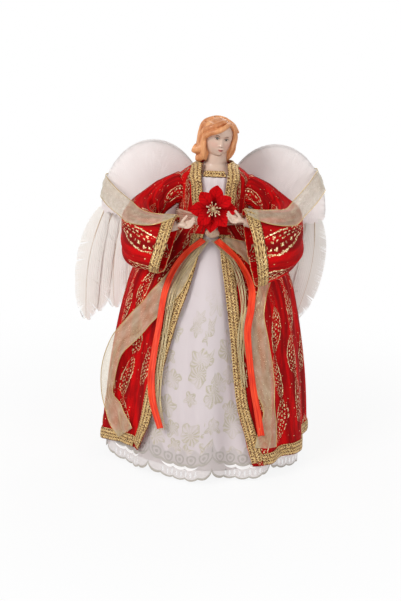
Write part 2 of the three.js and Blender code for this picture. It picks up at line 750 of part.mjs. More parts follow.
function makeSkull(sides, rows, grow = 0) {
  const rings = [];
  for (let j = 0; j <= rows; j++) {
    const share = mix(-0.98, 0.98, j / rows);
    rings.push(
      Array.from({ length: sides }, (_, i) => {
        const p = skullPoint((fullTurn * i) / sides, share);
        return p.addScaledVector(p.clone().normalize(), grow);
      }),
    );
  }
  const tip = skullHalfHeight + grow;
  return skin(rings, vec(0, -skullFrontDepth * 0.3, -tip), vec(0, 0, tip));
}

function makeBust() {
  const plateRings = [];
  const bodiceTop = chestRow(bodiceRows);
  const plateHeights = [torsoTopHeight + seatGap, bodiceTop, mix(bodiceTop, plateTopHeight, 0.5), plateTopHeight];
  for (const z of plateHeights) {
    const lift = torsoOffset - seatGap;
    plateRings.push(Array.from({ length: 24 }, (_, i) => {
      const p = robePoint((fullTurn * i) / 24, Math.min(z, collarHeight), lift);
      const pull = smooth((z - bodiceTop) / (plateTopHeight - bodiceTop));
      return p.multiply(vec(1 - 0.28 * pull, 1 - 0.12 * pull, 1));
    }));
  }
  const plate = skin(plateRings, vec(0, 0, plateHeights[0]), vec(0, 0, plateTopHeight));
  const foot = vec(0, 0, bodiceTop);
  const base = vec(headCentreX * 0.3, headCentreY * 0.1, plateTopHeight);
  const nape = vec(headCentreX, headCentreY * 0.4, headCentreHeight - skullHalfHeight * 0.4);
  const neck = tube([foot, base, nape], (t) => neckRadius * mix(1.35, 0.95, smooth(t * 2.2)), 14, 6);
  return join(plate, neck, makeSkull(22, 14).applyMatrix4(headMatrix));
}

// The moulded hair: a wavy shell round the head, open at the face, that flips out at the jaw.
const hairHeightShares = [-1.3, -1.05, -0.75, -0.4, 0, 0.35, 0.65, 0.9, 1.07];
const hairWidthShares = [0.78, 1.08, 1.27, 1.3, 1.27, 1.22, 1.04, 0.68, 0.12];
const hairFrontShares = [0.35, 0.6, 0.78, 0.92, 1.02, 1.08, 1.02, 0.72, 0.12];
const hairBackShares = [0.4, 0.72, 0.98, 1.12, 1.18, 1.2, 1.08, 0.76, 0.12];
const hairWave = 0.7;
const hairWaveCount = 9;
const hairRings = 11;
const scalpGap = 0.9;
const lockRadius = 4.4;
const faceTilt = 13 * degrees;

function hairPoint(angle, share) {
  const wave = hairWave * Math.cos(hairWaveCount * angle + 3 * share) * smooth((0.9 - share) * 2);
  const facing = Math.cos(angle);
  const deep = facing > 0
    ? skullFrontDepth * curveAt(hairHeightShares, hairFrontShares, share)
    : skullBackDepth * curveAt(hairHeightShares, hairBackShares, share);
  const wide = skullHalfWidth * curveAt(hairHeightShares, hairWidthShares, share);
  return vec((wide + wave) * Math.sin(angle), -(deep + wave) * facing, skullHalfHeight * share);
}

function makeHair() {
  const w = skullHalfWidth;
  const d = skullFrontDepth;
  const h = skullHalfHeight;
  const low = hairHeightShares[0];
  const high = hairHeightShares[hairHeightShares.length - 1];
  const rings = [];
  for (let j = 0; j <= hairRings; j++) {
    const share = mix(low, high, j / hairRings);
    rings.push(Array.from({ length: 22 }, (_, i) => hairPoint((fullTurn * i) / 22, share)));
  }
  const mass = skin(rings, vec(0, 0, low * h), vec(0, 0, high * h));
  const lock = (shares, widen) =>
    tube(
      shares.map(([x, y, z]) => vec(x * w, y * d, z * h)),
      (t) => lockRadius * widen * (0.55 + 0.5 * Math.sin(Math.PI * mix(0.2, 0.9, t))),
      7,
      6,
    );
  const flip = lock([[-1, -0.35, 0.1], [-1.18, -0.4, -0.45], [-1.2, -0.42, -0.78], [-1.48, -0.42, -0.86], [-1.66, -0.42, -0.66]], 1);
  const curl = lock([[-0.92, -0.5, -0.35], [-1.02, -0.52, -0.75], [-1.06, -0.5, -1.02], [-1.2, -0.48, -1.16]], 1);
  const flick = lock([[0.75, -0.55, 0.62], [1.12, -0.5, 0.36], [1.32, -0.45, 0.24]], 0.72);
  const fringe = lock([[0.4, -0.86, 0.84], [-0.1, -1.06, 0.66], [-0.66, -0.94, 0.36], [-1.02, -0.56, -0.06]], 0.78);
  const face = ellipsoid(vec(0, 0, 0), w * 0.93, d * 0.9, h * 0.98, 16, 9);
  face.rotateY(faceTilt).translate(w * 0.06, -d * 1.12, -h * 0.36);
  const jaw = ellipsoid(vec(w * 0.02, -d * 1.1, -h * 1.05), w * 0.74, d * 1.1, h * 0.8, 14, 7);
  const placed = join(cut(mass, face, jaw), fringe, flip, curl, flick).applyMatrix4(headMatrix);
  const scalp = makeSkull(14, 9, scalpGap).applyMatrix4(headMatrix);
  const neckRoom = new THREE.CylinderGeometry(neckRadius * 1.3, neckRadius * 1.5, 3 * skullHalfHeight, 14);
  neckRoom.rotateX(Math.PI / 2).translate(headCentreX * 0.6, headCentreY * 0.3, plateTopHeight);
  return cut(placed, scalp, neckRoom);
}

// The wings: coverts front and back with long quill feathers held between them, on a card.
const wingRootY = 30;
const wingSweepShare = 0.1;
const wingCentreX = 66;
const wingAboveWaist = 3;
const wingCentreHeight = waistHeight + wingAboveWaist;
const wingHalfWidth = 57;
const wingHalfHeight = 73;
const wingLowShare = 0.13;
const covertThickness = 7;
const covertRim = 2;
const featherCount = 4;
const featherRidge = 1.5;
const featherPitch = featherRidge + seatGap;
const featherStack = featherCount * featherPitch + seatGap;
const wingCardThickness = 1.4;
const wingCardMargin = 3;
const wingPadHalfWidth = 9;
const wingPadHalfHeight = 15;
const wingPadAboveArmhole = 3;
const wingPadHeight = armholeHeight + wingPadAboveArmhole;

const wingPoint = (side, x, depth, z) => vec(side * x, wingRootY + depth + wingSweepShare * x, z);

// The wing's outline, as a share of its reach: fuller at the top outside, cut short below.
function wingOutline(angle, share = 1) {
  const flat = Math.sin(angle) < 0 ? wingLowShare : 1;
  const x = wingCentreX + wingHalfWidth * share * Math.cos(angle);
  const z = wingCentreHeight + wingHalfHeight * share * Math.sin(angle) * flat;
  return [x, z];
}

// A covert pad: a flat face towards the feathers and a domed one away from them.
function makeCovert(side, flatDepth, outward) {
  const around = 22;
  const domeShares = [1, 0.86, 0.62, 0.3];
  const ring = (share, depth) =>
    Array.from({ length: around }, (_, i) => {
      const [x, z] = wingOutline((fullTurn * i) / around, share);
      return wingPoint(side, x, depth, z);
    });
  const domed = domeShares.map((share) =>
    ring(share, flatDepth + outward * (covertRim + (covertThickness - covertRim) * Math.sqrt(1 - share * share))),
  );
  const rings = [ring(1, flatDepth), ...domed];
  const flatTip = wingPoint(side, wingCentreX, flatDepth, wingCentreHeight);
  const domeTip = wingPoint(side, wingCentreX, flatDepth + outward * covertThickness, wingCentreHeight);
  return skin(rings, flatTip, domeTip);
}

// Depths behind the wing's front: coverts, card, feathers, coverts.
const cardFrontDepth = covertThickness + seatGap;
const cardBackDepth = cardFrontDepth + wingCardThickness;
const makeFrontCovert = (side) => makeCovert(side, covertThickness, -1);
const makeBackCovert = (side) => makeCovert(side, cardBackDepth + featherStack, 1);

// The card that carries both wings: one bent strip of board, cut inside the coverts' outline.
function makeWingCard() {
  const half = (side) => (s, t, depth) => {
    const x = (wingCentreX + wingHalfWidth - wingCardMargin * 2) * s;
    const reach = (x - wingCentreX) / wingHalfWidth;
    const span = Math.sqrt(Math.max(0, 1 - reach * reach)) * wingHalfHeight - wingCardMargin;
    const bridge = 1 - smooth(s * 4);
    const top = wingCentreHeight + Math.max(span, bridge * (wingPadHeight + wingPadHalfHeight - wingCentreHeight));
    const low = wingCentreHeight + bridge * (wingPadHeight - wingPadHalfHeight - wingCentreHeight);
    return wingPoint(side, x, depth, mix(low, top, t));
  };
  const spot = (depth) => (s, t) => half(s < 0.5 ? -1 : 1)(Math.abs(2 * s - 1), t, depth);
  return between(spot(cardFrontDepth), spot(cardBackDepth), 16, 2);
}

// The pad that fills in between the robe's back and the wing card.
function makeWingPad() {
  const height = (t) => wingPadHeight + wingPadHalfHeight * (2 * t - 1);
  const wide = (s) => wingPadHalfWidth * (1 - 2 * s);
  const near = (s, t) => {
    const z = height(t);
    const angle = Math.PI - Math.asin(wide(s) / halfWidthAt(z));
    return robePoint(angle, z, clothGap);
  };
  const far = (s, t) => wingPoint(1, wide(s), 0, height(t)).setY(wingRootY + cardFrontDepth - seatGap);
  return between(near, far, 6, 5);
}

// Quill feathers: root place across the wing, lean, length and width, as shares and degrees.
const featherVaneEdge = 0.5;
const featherLength = 159;
const featherWidth = 29;
const featherRootRise = 17;
const featherRootHeight = wingCentreHeight + featherRootRise;
const leftRootShares = [0.76, 0.56, 0.34, 0.1];
const leftLeanDegrees = [-5, -4, -3, -1];
const leftLengthShares = [0.88, 0.93, 0.8, 0.62];
const rightRootShares = [0.78, 0.6, 0.4, 0.18];
const rightLeanDegrees = [11, 11, 8, 6];
const rightLengthShares = [0.97, 0.9, 0.86, 0.76];
const vaneHeightShares = [0, 0.1, 0.18, 0.35, 0.6, 0.82, 0.94, 1];
const vaneWidthShares = [0.09, 0.12, 0.5, 0.86, 1, 0.92, 0.62, 0.16];
const featherBowShare = 0.07;

function makeFeather(side, k) {
  const roots = side > 0 ? leftRootShares : rightRootShares;
  const leans = side > 0 ? leftLeanDegrees : rightLeanDegrees;
  const lengths = side > 0 ? leftLengthShares : rightLengthShares;
  const rootX = wingCentreX + wingHalfWidth * roots[k];
  const lean = leans[k] * degrees;
  const long = featherLength * lengths[k];
  const middle = cardBackDepth + seatGap + featherPitch * k + featherRidge / 2;
  const spot = (face) => (s, t) => {
    const half = (featherWidth / 2) * curveAt(vaneHeightShares, vaneWidthShares, t);
    const q = 2 * s - 1;
    const bow = long * featherBowShare * Math.sin(Math.PI * t);
    const along = long * t - half * 0.35 * q * q;
    const across = bow + half * q;
    const x = rootX + Math.sin(lean) * along + Math.cos(lean) * across;
    const z = featherRootHeight - Math.cos(lean) * along + Math.sin(lean) * across;
    const thick = mix(featherRidge, featherVaneEdge, Math.sqrt(Math.abs(q)));
    return wingPoint(side, x, middle + face * (thick / 2), z);
  };
  return between(spot(1), spot(-1), 4, 9);
}

// The sash round the waist, the bow's knot on it, and the poinsettia above the knot.
const sashAboveWaist = 7;
const sashHeight = waistHeight + sashAboveWaist;
const sashWidth = 11;
const sashThickness = 1.5;
const sashLift = 2.2;
const knotHalfWidth = 7;
const knotHalfDepth = 2.6;
const knotHalfHeight = 4.6;
const knotBelowWaist = 5;
const knotHeight = waistHeight - knotBelowWaist;
const flowerAboveWaist = 22;
const flowerHeight = waistHeight + flowerAboveWaist;
const flowerY = -54;
const flowerTip = 24;
const rearPetalDegrees = [8, 92, 185, 265];
const frontPetalDegrees = [53, 140, 222, 322];
const frontPetalShare = 0.9;
const petalHalfWidth = 7.6;
const petalThickness = 1;
const whorlGap = 0.6;
const stemRadius = 1.6;
const calyxRadius = 4;
const stamenCount = 9;
const stamenRadius = 0.5;
const stamenBead = 1.05;
const stamenRing = 6;
const stamenLength = 6.5;

function makeSash() {
  const spot = (lift) => (s, t) => {
    const z = sashHeight + sashWidth * (t - 0.5);
    return robePoint(s * fullTurn, z, sashLift + lift);
  };
  return between(spot(sashThickness), spot(0), 24, 2, true);
}

function makeKnot() {
  const front = -(halfDepthAt(knotHeight) + foldAt(0, knotHeight) + sashLift + sashThickness + seatGap + knotHalfDepth);
  return ellipsoid(vec(0, front, knotHeight), knotHalfWidth, knotHalfDepth, knotHalfHeight, 12, 8);
}

// One petal in the flower's own frame: it lies in the XZ plane, faces -Y and points up. It is
// folded along its middle rib and its tip bends forward.
const petalLengthShares = [0, 0.18, 0.38, 0.6, 0.82, 1];
const petalWidthShares = [0.2, 0.3, 0.8, 1, 0.66, 0.05];
const petalFold = 1.6;
const petalBend = 4.5;

function makePetal(share) {
  const spot = (lift) => (s, t) => {
    const q = 2 * s - 1;
    const half = petalHalfWidth * share * curveAt(petalLengthShares, petalWidthShares, t);
    const out = petalFold * Math.abs(q) * Math.sin(Math.PI * t) + petalBend * t * t * t;
    return vec(half * q, -out - lift, stemRadius + (flowerTip * share - stemRadius) * t);
  };
  return between(spot(petalThickness / 2), spot(-petalThickness / 2), 2, 6);
}

function makePetals() {
  const step = petalThickness + petalFold + whorlGap;
  const whorl = (angles, share, forward) =>
    angles.map((a) => makePetal(share).rotateY(a * degrees).translate(0, -forward, 0));
  const hub = new THREE.CylinderGeometry(calyxRadius, calyxRadius, step + petalThickness, 12);
  const rear = whorl(rearPetalDegrees, 1, 0);
  const front = whorl(frontPetalDegrees, frontPetalShare, step);
  return join(hub.translate(0, -step / 2, 0), ...rear, ...front).translate(0, flowerY, flowerHeight);
}

function makeStamens() {
  const y = flowerY - 1.5 * petalThickness - petalFold - whorlGap - seatGap;
  const base = new THREE.CylinderGeometry(calyxRadius * 0.6, calyxRadius * 0.6, petalThickness, 10);
  const parts = [base.translate(0, y - petalThickness / 2, flowerHeight)];
  for (let k = 0; k < stamenCount; k++) {
    const angle = (fullTurn * k) / stamenCount;
    const reach = stamenRing * (k % 3 === 0 ? 0.5 : 1);
    const tip = vec(Math.sin(angle) * reach, y - stamenLength, flowerHeight + Math.cos(angle) * reach);
    const foot = vec(Math.sin(angle) * stamenRadius, y - petalThickness / 2, flowerHeight + Math.cos(angle) * stamenRadius);
    parts.push(tube([foot, tip], () => stamenRadius, 5, 1));
    parts.push(ellipsoid(tip, stamenBead, stamenBead, stamenBead, 5, 3));
  }
  return join(...parts);
}

// The stem: a calyx behind the petals, and a wire that reaches down to the sash.
function makeStem() {
  const back = flowerY + 0.5 * petalThickness + seatGap;
  const sashFront = -(halfDepthAt(sashHeight) + foldAt(0, sashHeight) + sashLift + sashThickness + seatGap);
  const calyx = new THREE.CylinderGeometry(stemRadius, calyxRadius, calyxRadius, 12);
  calyx.rotateX(Math.PI).translate(0, back + calyxRadius / 2, flowerHeight);
  const foot = vec(0, sashFront - stemRadius, sashHeight);
  const start = vec(0, back + calyxRadius * 0.6, flowerHeight);
  const bend = vec(0, mix(start.y, foot.y, 0.8) + stemRadius, mix(flowerHeight, sashHeight, 0.55));
  return join(calyx, tube([start, bend, foot], () => stemRadius, 8, 6));
}

// Ribbons that hang from the knot: wide sheer tails, narrow satin, and bundles of fine strands.
const tailLift = 2.7;
const strandLift = 4.1;
const satinLift = 5.5;
const tailPuff = 7;

// Routes on the robe: angle from the front in degrees, and height as a share from hem to waist.
const rightTailDegrees = [-13, -20, -27, -37, -46, -54, -60, -63, -62.5, -57, -48.5];
const rightTailShares = [0.955, 0.86, 0.76, 0.68, 0.605, 0.53, 0.45, 0.33, 0.24, 0.175, 0.1];
const leftTailDegrees = [13, 27, 38, 43, 41, 34, 28, 29, 31.5, 34, 35, 33.5];
const leftTailShares = [0.955, 0.93, 0.9, 0.86, 0.81, 0.73, 0.65, 0.54, 0.44, 0.33, 0.22, 0.1];
const rightSatinDegrees = [-9, -20, -26.5, -29.3, -29.6, -30.2, -30, -28, -23];
const rightSatinShares = [0.955, 0.91, 0.85, 0.75, 0.6, 0.46, 0.38, 0.29, 0.18];
const leftSatinDegrees = [5, 15, 23.5, 28, 26.5, 23.8, 24.2, 25.8, 28, 30];
const leftSatinShares = [0.955, 0.92, 0.87, 0.78, 0.69, 0.6, 0.5, 0.38, 0.27, 0.16];
const rightStrandDegrees = [-5, -12, -19.5, -24, -25.5, -26, -26.5, -25.5, -22.5];
const rightStrandShares = [0.955, 0.91, 0.84, 0.76, 0.64, 0.52, 0.4, 0.3, 0.17];
const leftStrandDegrees = [2, 9, 16.5, 21, 22.5, 20, 20.5, 22];
const leftStrandShares = [0.955, 0.93, 0.89, 0.82, 0.7, 0.56, 0.46, 0.36];

const routeOf = (angles, shares) => angles.map((a, i) => [a, mix(robeHemHeight, waistHeight, shares[i])]);

function makeTail(side) {
  const route = side > 0 ? routeOf(leftTailDegrees, leftTailShares) : routeOf(rightTailDegrees, rightTailShares);
  const puff = side > 0 ? 0.08 : 1;
  const width = (t) => ribbonWidth * mix(0.35, 1, smooth(t * 5)) * (side > 0 ? 1 - 0.4 * Math.exp(-(((t - 0.5) * 12) ** 2)) : 1);
  const offset = (s, t) => tailLift + puff * tailPuff * Math.sin(Math.PI * clamp01((t - 0.35) / 0.55)) ** 2;
  return stripOnRobe(route, width, ribbonThickness, offset, 3, 26);
}

function makeSatin(side) {
  const route = side > 0 ? routeOf(leftSatinDegrees, leftSatinShares) : routeOf(rightSatinDegrees, rightSatinShares);
  return stripOnRobe(route, () => satinRibbonWidth, ribbonThickness, () => satinLift, 1, 22);
}

function makeStrands(side) {
  const route = side > 0 ? routeOf(leftStrandDegrees, leftStrandShares) : routeOf(rightStrandDegrees, rightStrandShares);
  return stripOnRobe(route, () => strandRibbonWidth, ribbonThickness, () => strandLift, 1, 20);
}

// The wing ribbon: it leaves one wrist, lies on the sleeve, crosses to the wing's rim, passes
// behind both wings and comes back to the other wrist.
const leftWrapDegrees = [40, 20];
const rightWrapDegrees = [26, 7];
const wrapClear = 1.6;
const ribbonSag = 3;
const ribbonSleeveShares = [0.66, 0.75, 0.84, 0.92, 0.99];
const ribbonTopDegrees = [10, 8, 5, 1, -4];
const ribbonLowDegrees = [66, 62, 55, 44, 30];
const ribbonColumns = 3;
const spanRows = 4;

function makeWingRibbon() {
  const frontDepth = covertThickness - covertRim - wrapClear;
  const backDepth = cardBackDepth + featherStack + covertThickness + wrapClear;
  const columns = Array.from({ length: ribbonColumns + 1 }, (_, i) => i / ribbonColumns);
  const rimRow = (side, clear, depth) =>
    columns.map((s) => {
      const [start, end] = side > 0 ? leftWrapDegrees : rightWrapDegrees;
      const [x, z] = wingOutline(mix(start, end, s) * degrees);
      return wingPoint(side, x + clear, depth, z);
    });
  const sleeveRow = (side, k) =>
    columns.map((s) => {
      const angle = mix(ribbonTopDegrees[k], ribbonLowDegrees[k], s) * degrees;
      const lift = wrapClear + braidThickness * smooth(k / 3);
      return sleevePoint(side, angle, ribbonSleeveShares[k], lift);
    });
  const halfRun = (side) => {
    const rim = rimRow(side, wrapClear * 0.7, frontDepth);
    const onSleeve = ribbonSleeveShares.map((_, k) => sleeveRow(side, k));
    const span = Array.from({ length: spanRows - 1 }, (_, j) => {
      const t = (j + 1) / spanRows;
      const sag = ribbonSag * Math.sin(Math.PI * t);
      return rim.map((p, i) => p.clone().lerp(onSleeve[0][i], t).add(vec(0, 0, -sag)));
    });
    const outside = rimRow(side, wrapClear * 1.6, mix(frontDepth, backDepth, 0.5));
    const behind = rimRow(side, wrapClear * 0.7, backDepth);
    return [...onSleeve.reverse(), ...span.reverse(), rim, outside, behind];
  };
  const left = halfRun(1);
  const right = halfRun(-1).reverse();
  const edge = left[left.length - 1];
  const across = [0.2, 0.5, 0.8].map((share) =>
    edge.map((p, i) => p.clone().lerp(right[0][i], share).add(vec(0, wrapClear * Math.sin(Math.PI * share), 0))),
  );
  return sheetFrom([...left, ...across, ...right], ribbonThickness);
}

// Finishes: colour, roughness and metalness of each stuff.
const finish = (color, roughness, metalness = 0) => new THREE.MeshStandardMaterial({ color, roughness, metalness });
const card = finish("#d9d3c4", 0.8);
const wadding = finish("#efeae2", 0.95);
const porcelain = finish("#ecd2bd", 0.35);
const hairPaint = finish("#e0955a", 0.45);
const whiteSatin = finish("#e6dfe3", 0.45);
const lace = finish("#e9e2dc", 0.7);
const velvet = finish("#b5060d", 0.75);
const goldBraid = finish("#b9954f", 0.4, 0.6);
const organza = finish("#c9b48e", 0.5);
const redSatin = finish("#ef3a1e", 0.35);
const strandGold = finish("#c7b48b", 0.5, 0.3);
const petalRed = finish("#b80008", 0.8);
const stamenGold = finish("#d9c59a", 0.35, 0.5);
const stemGreen = finish("#3c5a34", 0.6);
const feather = finish("#f1ece9", 0.7);
const steel = finish("#9a9a9a", 0.4, 0.9);

const angel = new THREE.Group();
function place(name, geometry, material) {
  const mesh = new THREE.Mesh(geometry, material);
  mesh.name = name;
  angel.add(mesh);
}

place("support_cone", makeCone(), card);
place("white_skirt", makeSkirt(), whiteSatin);
place("lace_overlay", makeOverlay(), lace);
place("torso_form", makeTorso(), wadding);
place("bodice", makeBodice(), whiteSatin);
place("bust", makeBust(), porcelain);
place("hair", makeHair(), hairPaint);
place("neck_trim", makeNeckTrim(), goldBraid);
place("arm_wire", makeWire(wireRadius), steel);
place("robe_back", makeRobeBack(), velvet);
place("back_hem_trim", makeBackHemTrim(), goldBraid);
place("waist_sash", makeSash(), organza);
place("bow_knot", makeKnot(), organza);
place("flower_petals", makePetals(), petalRed);
place("flower_stamens", makeStamens(), stamenGold);
place("flower_stem", makeStem(), stemGreen);
place("wing_card", makeWingCard(), card);
place("wing_pad", makeWingPad(), wadding);

for (const [name, side] of [["left", 1], ["right", -1]]) {
  place(`${name}_arm`, makeArm(side), wadding);
  place(`${name}_hand`, makeHand(side), porcelain);
  place(`${name}_sleeve`, makeSleeve(side), velvet);
  place(`${name}_cuff_trim`, makeCuffTrim(side), goldBraid);
  place(`robe_${name}_front`, makeRobeFront(side), velvet);
  place(`${name}_front_trim`, makeFrontTrim(side), goldBraid);
  place(`${name}_collar_trim`, makeCollarTrim(side), goldBraid);
  place(`${name}_hem_trim`, makeFrontHemTrim(side), goldBraid);
  place(`${name}_ribbon_tail`, makeTail(side), organza);
  place(`${name}_satin_ribbon`, makeSatin(side), redSatin);
  place(`${name}_strands`, makeStrands(side), strandGold);
  place(`${name}_wing_coverts`, makeFrontCovert(side), feather);
  place(`${name}_wing_back`, makeBackCovert(side), feather);
  leftRootShares.forEach((_, k) => place(`${name}_feather_${k + 1}`, makeFeather(side, k), feather));
}
place("wing_ribbon", makeWingRibbon(), organza);

export default angel;
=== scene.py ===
# %% [markdown]
# # An angel tree topper, dressed
# The figure is a porcelain bust on a card cone, dressed in a white skirt with a lace hem and an
# open red velvet robe, with feather wings, sheer ribbons and a poinsettia in its hands.
# This notebook loads the plain solids of the figure and dresses them: cloth with folds and print,
# braid with its loops, feathers with their barbs, and a painted face. Sizes are in millimetres
# until a mesh is made, and the angel faces the camera, towards -Y.

import math

import bpy
import numpy as np
from mathutils import Matrix, Vector


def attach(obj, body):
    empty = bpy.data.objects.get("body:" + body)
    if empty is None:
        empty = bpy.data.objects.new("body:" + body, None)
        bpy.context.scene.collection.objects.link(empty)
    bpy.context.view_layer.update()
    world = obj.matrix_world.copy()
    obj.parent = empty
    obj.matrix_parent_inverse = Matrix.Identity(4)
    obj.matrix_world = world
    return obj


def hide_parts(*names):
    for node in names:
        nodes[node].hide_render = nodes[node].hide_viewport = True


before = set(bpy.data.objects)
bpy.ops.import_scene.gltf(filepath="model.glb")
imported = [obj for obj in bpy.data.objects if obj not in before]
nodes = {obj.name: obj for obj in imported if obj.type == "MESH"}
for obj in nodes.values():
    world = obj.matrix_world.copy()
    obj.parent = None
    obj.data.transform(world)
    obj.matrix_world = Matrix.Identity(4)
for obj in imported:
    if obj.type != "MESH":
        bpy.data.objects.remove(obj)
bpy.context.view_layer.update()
MM = 0.001
TAU = 2 * math.pi
DEGREE = math.pi / 180
SIDES = (("left", 1), ("right", -1))

# %% [markdown]
# ## Camera, light and floor
# The photo was taken from about a metre away, a little above the figure, and the figure leans
# slightly to the right in it. The camera looks at the figure's middle, rolls against that lean
# and is then turned a touch so that the figure lands where the photo has it. The focal length and
# the two shifts are in the photo's pixels.

# %% Place the camera
LEAN = 2.4 * DEGREE
FOCAL_PIXELS, SHIFT_ACROSS, SHIFT_UP = 1003.1, 9.2, 6.4
eye = Vector((0, -1.0432, 0.4505))
middle = Vector((0, 0, 0.171))
camera_data = bpy.data.cameras.new("camera")
camera_data.sensor_width = 36
camera_data.lens = 60.1
camera = bpy.data.objects.new("camera", camera_data)
bpy.context.scene.collection.objects.link(camera)
bpy.context.scene.camera = camera
facing = (middle - eye).to_track_quat("-Z", "Y").to_matrix()
roll = Matrix.Rotation(LEAN, 3, "Z")
turn_left = Matrix.Rotation(math.atan(SHIFT_ACROSS / FOCAL_PIXELS), 3, "Y")
turn_down = Matrix.Rotation(-math.atan(SHIFT_UP / FOCAL_PIXELS), 3, "X")
camera.matrix_world = Matrix.Translation(eye) @ (facing @ roll @ turn_left @ turn_down).to_4x4()
print("camera at", tuple(eye), "lens", camera_data.lens)

# %% [markdown]
# Big soft lamps stand left and right in front, and one behind picks out the feathers. White for
# the camera, mirrors and glass comes from Light Path, so it adds no light to the figure.

# %% Light the set
LIT_POINT = Vector((0, 0, 0.18))


def soft_lamp(name, place, size, watts):
    data = bpy.data.lights.new(name, "AREA")
    data.shape = "DISK"
    data.size = size
    data.energy = watts
    lamp = bpy.data.objects.new(name, data)
    bpy.context.scene.collection.objects.link(lamp)
    lamp.location = place
    lamp.rotation_euler = (LIT_POINT - Vector(place)).to_track_quat("-Z", "Y").to_euler()
    return lamp


soft_lamp("key_lamp", (-1.1, -1.15, 1.2), 0.7, 19.5)
soft_lamp("fill_lamp", (1.15, -1.05, 0.65), 1.0, 7.0)
soft_lamp("rear_lamp", (0.35, 1.2, 1.1), 0.9, 6.0)
print("three soft lamps")

# %% [markdown]
# ## Shader maths as expressions
# A finish is a small tree of nodes. A Wire is one output in that tree, and adding or multiplying
# Wires adds the Math nodes for it, so a pattern reads like a formula.

# %% A wire
class Wire:
    def __init__(self, finish, socket):
        self.finish = finish
        self.socket = socket

    def math(self, operation, *values):
        return self.finish.node("ShaderNodeMath", {"operation": operation}, values)

    def __add__(self, other):
        return self.math("ADD", self, other)

    def __sub__(self, other):
        return self.math("SUBTRACT", self, other)

    def __rsub__(self, other):
        return self.math("SUBTRACT", other, self)

    def __mul__(self, other):
        return self.math("MULTIPLY", self, other)

    def __truediv__(self, other):
        return self.math("DIVIDE", self, other)

    def __pow__(self, other):
        return self.math("POWER", self, other)

    def __abs__(self):
        return self.math("ABSOLUTE", self)

    __radd__ = __add__
    __rmul__ = __mul__

    def sin(self):
        return self.math("SINE", self)

    def floor(self):
        return self.math("FLOOR", self)

    def fract(self):
        return self.math("FRACT", self)

    def high(self, other):
        return self.math("MAXIMUM", self, other)

    def step(self, start, end):
        """0 below start, 1 above end, and smooth between."""
        settings = {"interpolation_type": "SMOOTHSTEP"}
        return self.finish.node("ShaderNodeMapRange", settings, [self, start, end, 0.0, 1.0])

    def far(self, other):
        """The length of the vector (self, other)."""
        return (self * self + other * other) ** 0.5


print("a wire knows", ", ".join(name for name in vars(Wire) if not name.startswith("_")))

# %% [markdown]
# A Finish is one material's tree. Its methods add nodes for the cloth's own millimetres, noise,
# cells, blends and bumps, and done joins their wires to the shader and gives the material back.

# %% A finish
class Finish:
    def __init__(self, name, tree=None):
        """A new material of that name, or a node tree that is already there."""
        if tree is None:
            self.material = bpy.data.materials.new(name)
            self.material.use_nodes = True
            tree = self.material.node_tree
        self.tree = tree
        self.tree.nodes.clear()

    def node(self, kind, settings=None, values=(), out=0):
        made = self.tree.nodes.new(kind)
        for key, value in (settings or {}).items():
            setattr(made, key, value)
        for key, value in values.items() if isinstance(values, dict) else enumerate(values):
            if isinstance(value, Wire):
                self.tree.links.new(value.socket, made.inputs[key])
            elif value is not None:
                made.inputs[key].default_value = value
        return Wire(self, made.outputs[out]) if made.outputs else None

    def split(self, vector):
        made = self.node("ShaderNodeSeparateXYZ", None, [vector]).socket.node
        return [Wire(self, made.outputs[i]) for i in range(3)]

    def cloth(self):
        """Millimetres across and along the piece, from its own UV map."""
        return self.split(self.node("ShaderNodeUVMap", {"uv_map": "Cloth"}))[:2]

    def place(self):
        """Metres in the figure's own space."""
        return self.node("ShaderNodeTexCoord", None, (), "Object")

    def vector(self, x, y, z=0.0):
        return self.node("ShaderNodeCombineXYZ", None, [x, y, z])

    def noise(self, vector, scale, detail=3.0):
        values = {"Vector": vector, "Scale": scale, "Detail": detail, "Roughness": 0.55}
        return self.node("ShaderNodeTexNoise", {"noise_dimensions": "3D"}, values, "Fac")

    def cells(self, vector, scale):
        """How far a place is from the nearest of many scattered points."""
        return self.node("ShaderNodeTexVoronoi", None, {"Vector": vector, "Scale": scale}, "Distance")

    def blend(self, share, first, second):
        settings = {"data_type": "RGBA", "clamp_factor": True}
        return self.node("ShaderNodeMix", settings, {0: share, 6: first, 7: second}, 2)

    def bump(self, height, millimetres):
        values = {"Height": height, "Distance": millimetres * MM, "Strength": 1.0}
        return self.node("ShaderNodeBump", None, values, "Normal")

    def done(self, **values):
        names = {key.replace("_", " "): value for key, value in values.items()}
        shader = self.node("ShaderNodeBsdfPrincipled", None, names)
        self.node("ShaderNodeOutputMaterial", None, [shader])
        return self.material


print("a finish knows", ", ".join(name for name in vars(Finish) if not name.startswith("_")))

# %% Dyes
def dye(red, green, blue):
    """A colour as it shows on a screen, turned into the linear one that shaders take."""
    linear = [c / 12.92 if c <= 0.04045 else ((c + 0.055) / 1.055) ** 2.4 for c in (red, green, blue)]
    return (*linear, 1.0)


def grained(name, scale, first, second, **values):
    """A finish whose colour wanders between two dyes with a fine noise."""
    finish = Finish(name)
    grain = finish.noise(finish.place(), scale)
    return finish.done(Base_Color=finish.blend(grain, first, second), **values)


print("dye of mid grey", round(dye(0.5, 0.5, 0.5)[0], 3))

# %% [markdown]
# The floor is one big matt sheet. It catches the figure's shadow, and what the camera sees of it
# is mixed with plain white, like the sweep of paper in a product photo.

# %% Floor and backdrop
FLOOR_HALF, FLOOR_DROP, SKY_LIGHT = 6, 0.0004, 0.34


def white_for_camera(finish, share):
    """1 for rays that end in the picture, directly or in a mirror or glass, times share."""
    rays = finish.node("ShaderNodeLightPath").socket.node
    kinds = ("Is Camera Ray", "Is Glossy Ray", "Is Transmission Ray")
    direct, mirrored, through = (Wire(finish, rays.outputs[kind]) for kind in kinds)
    return direct.high(mirrored).high(through) * share


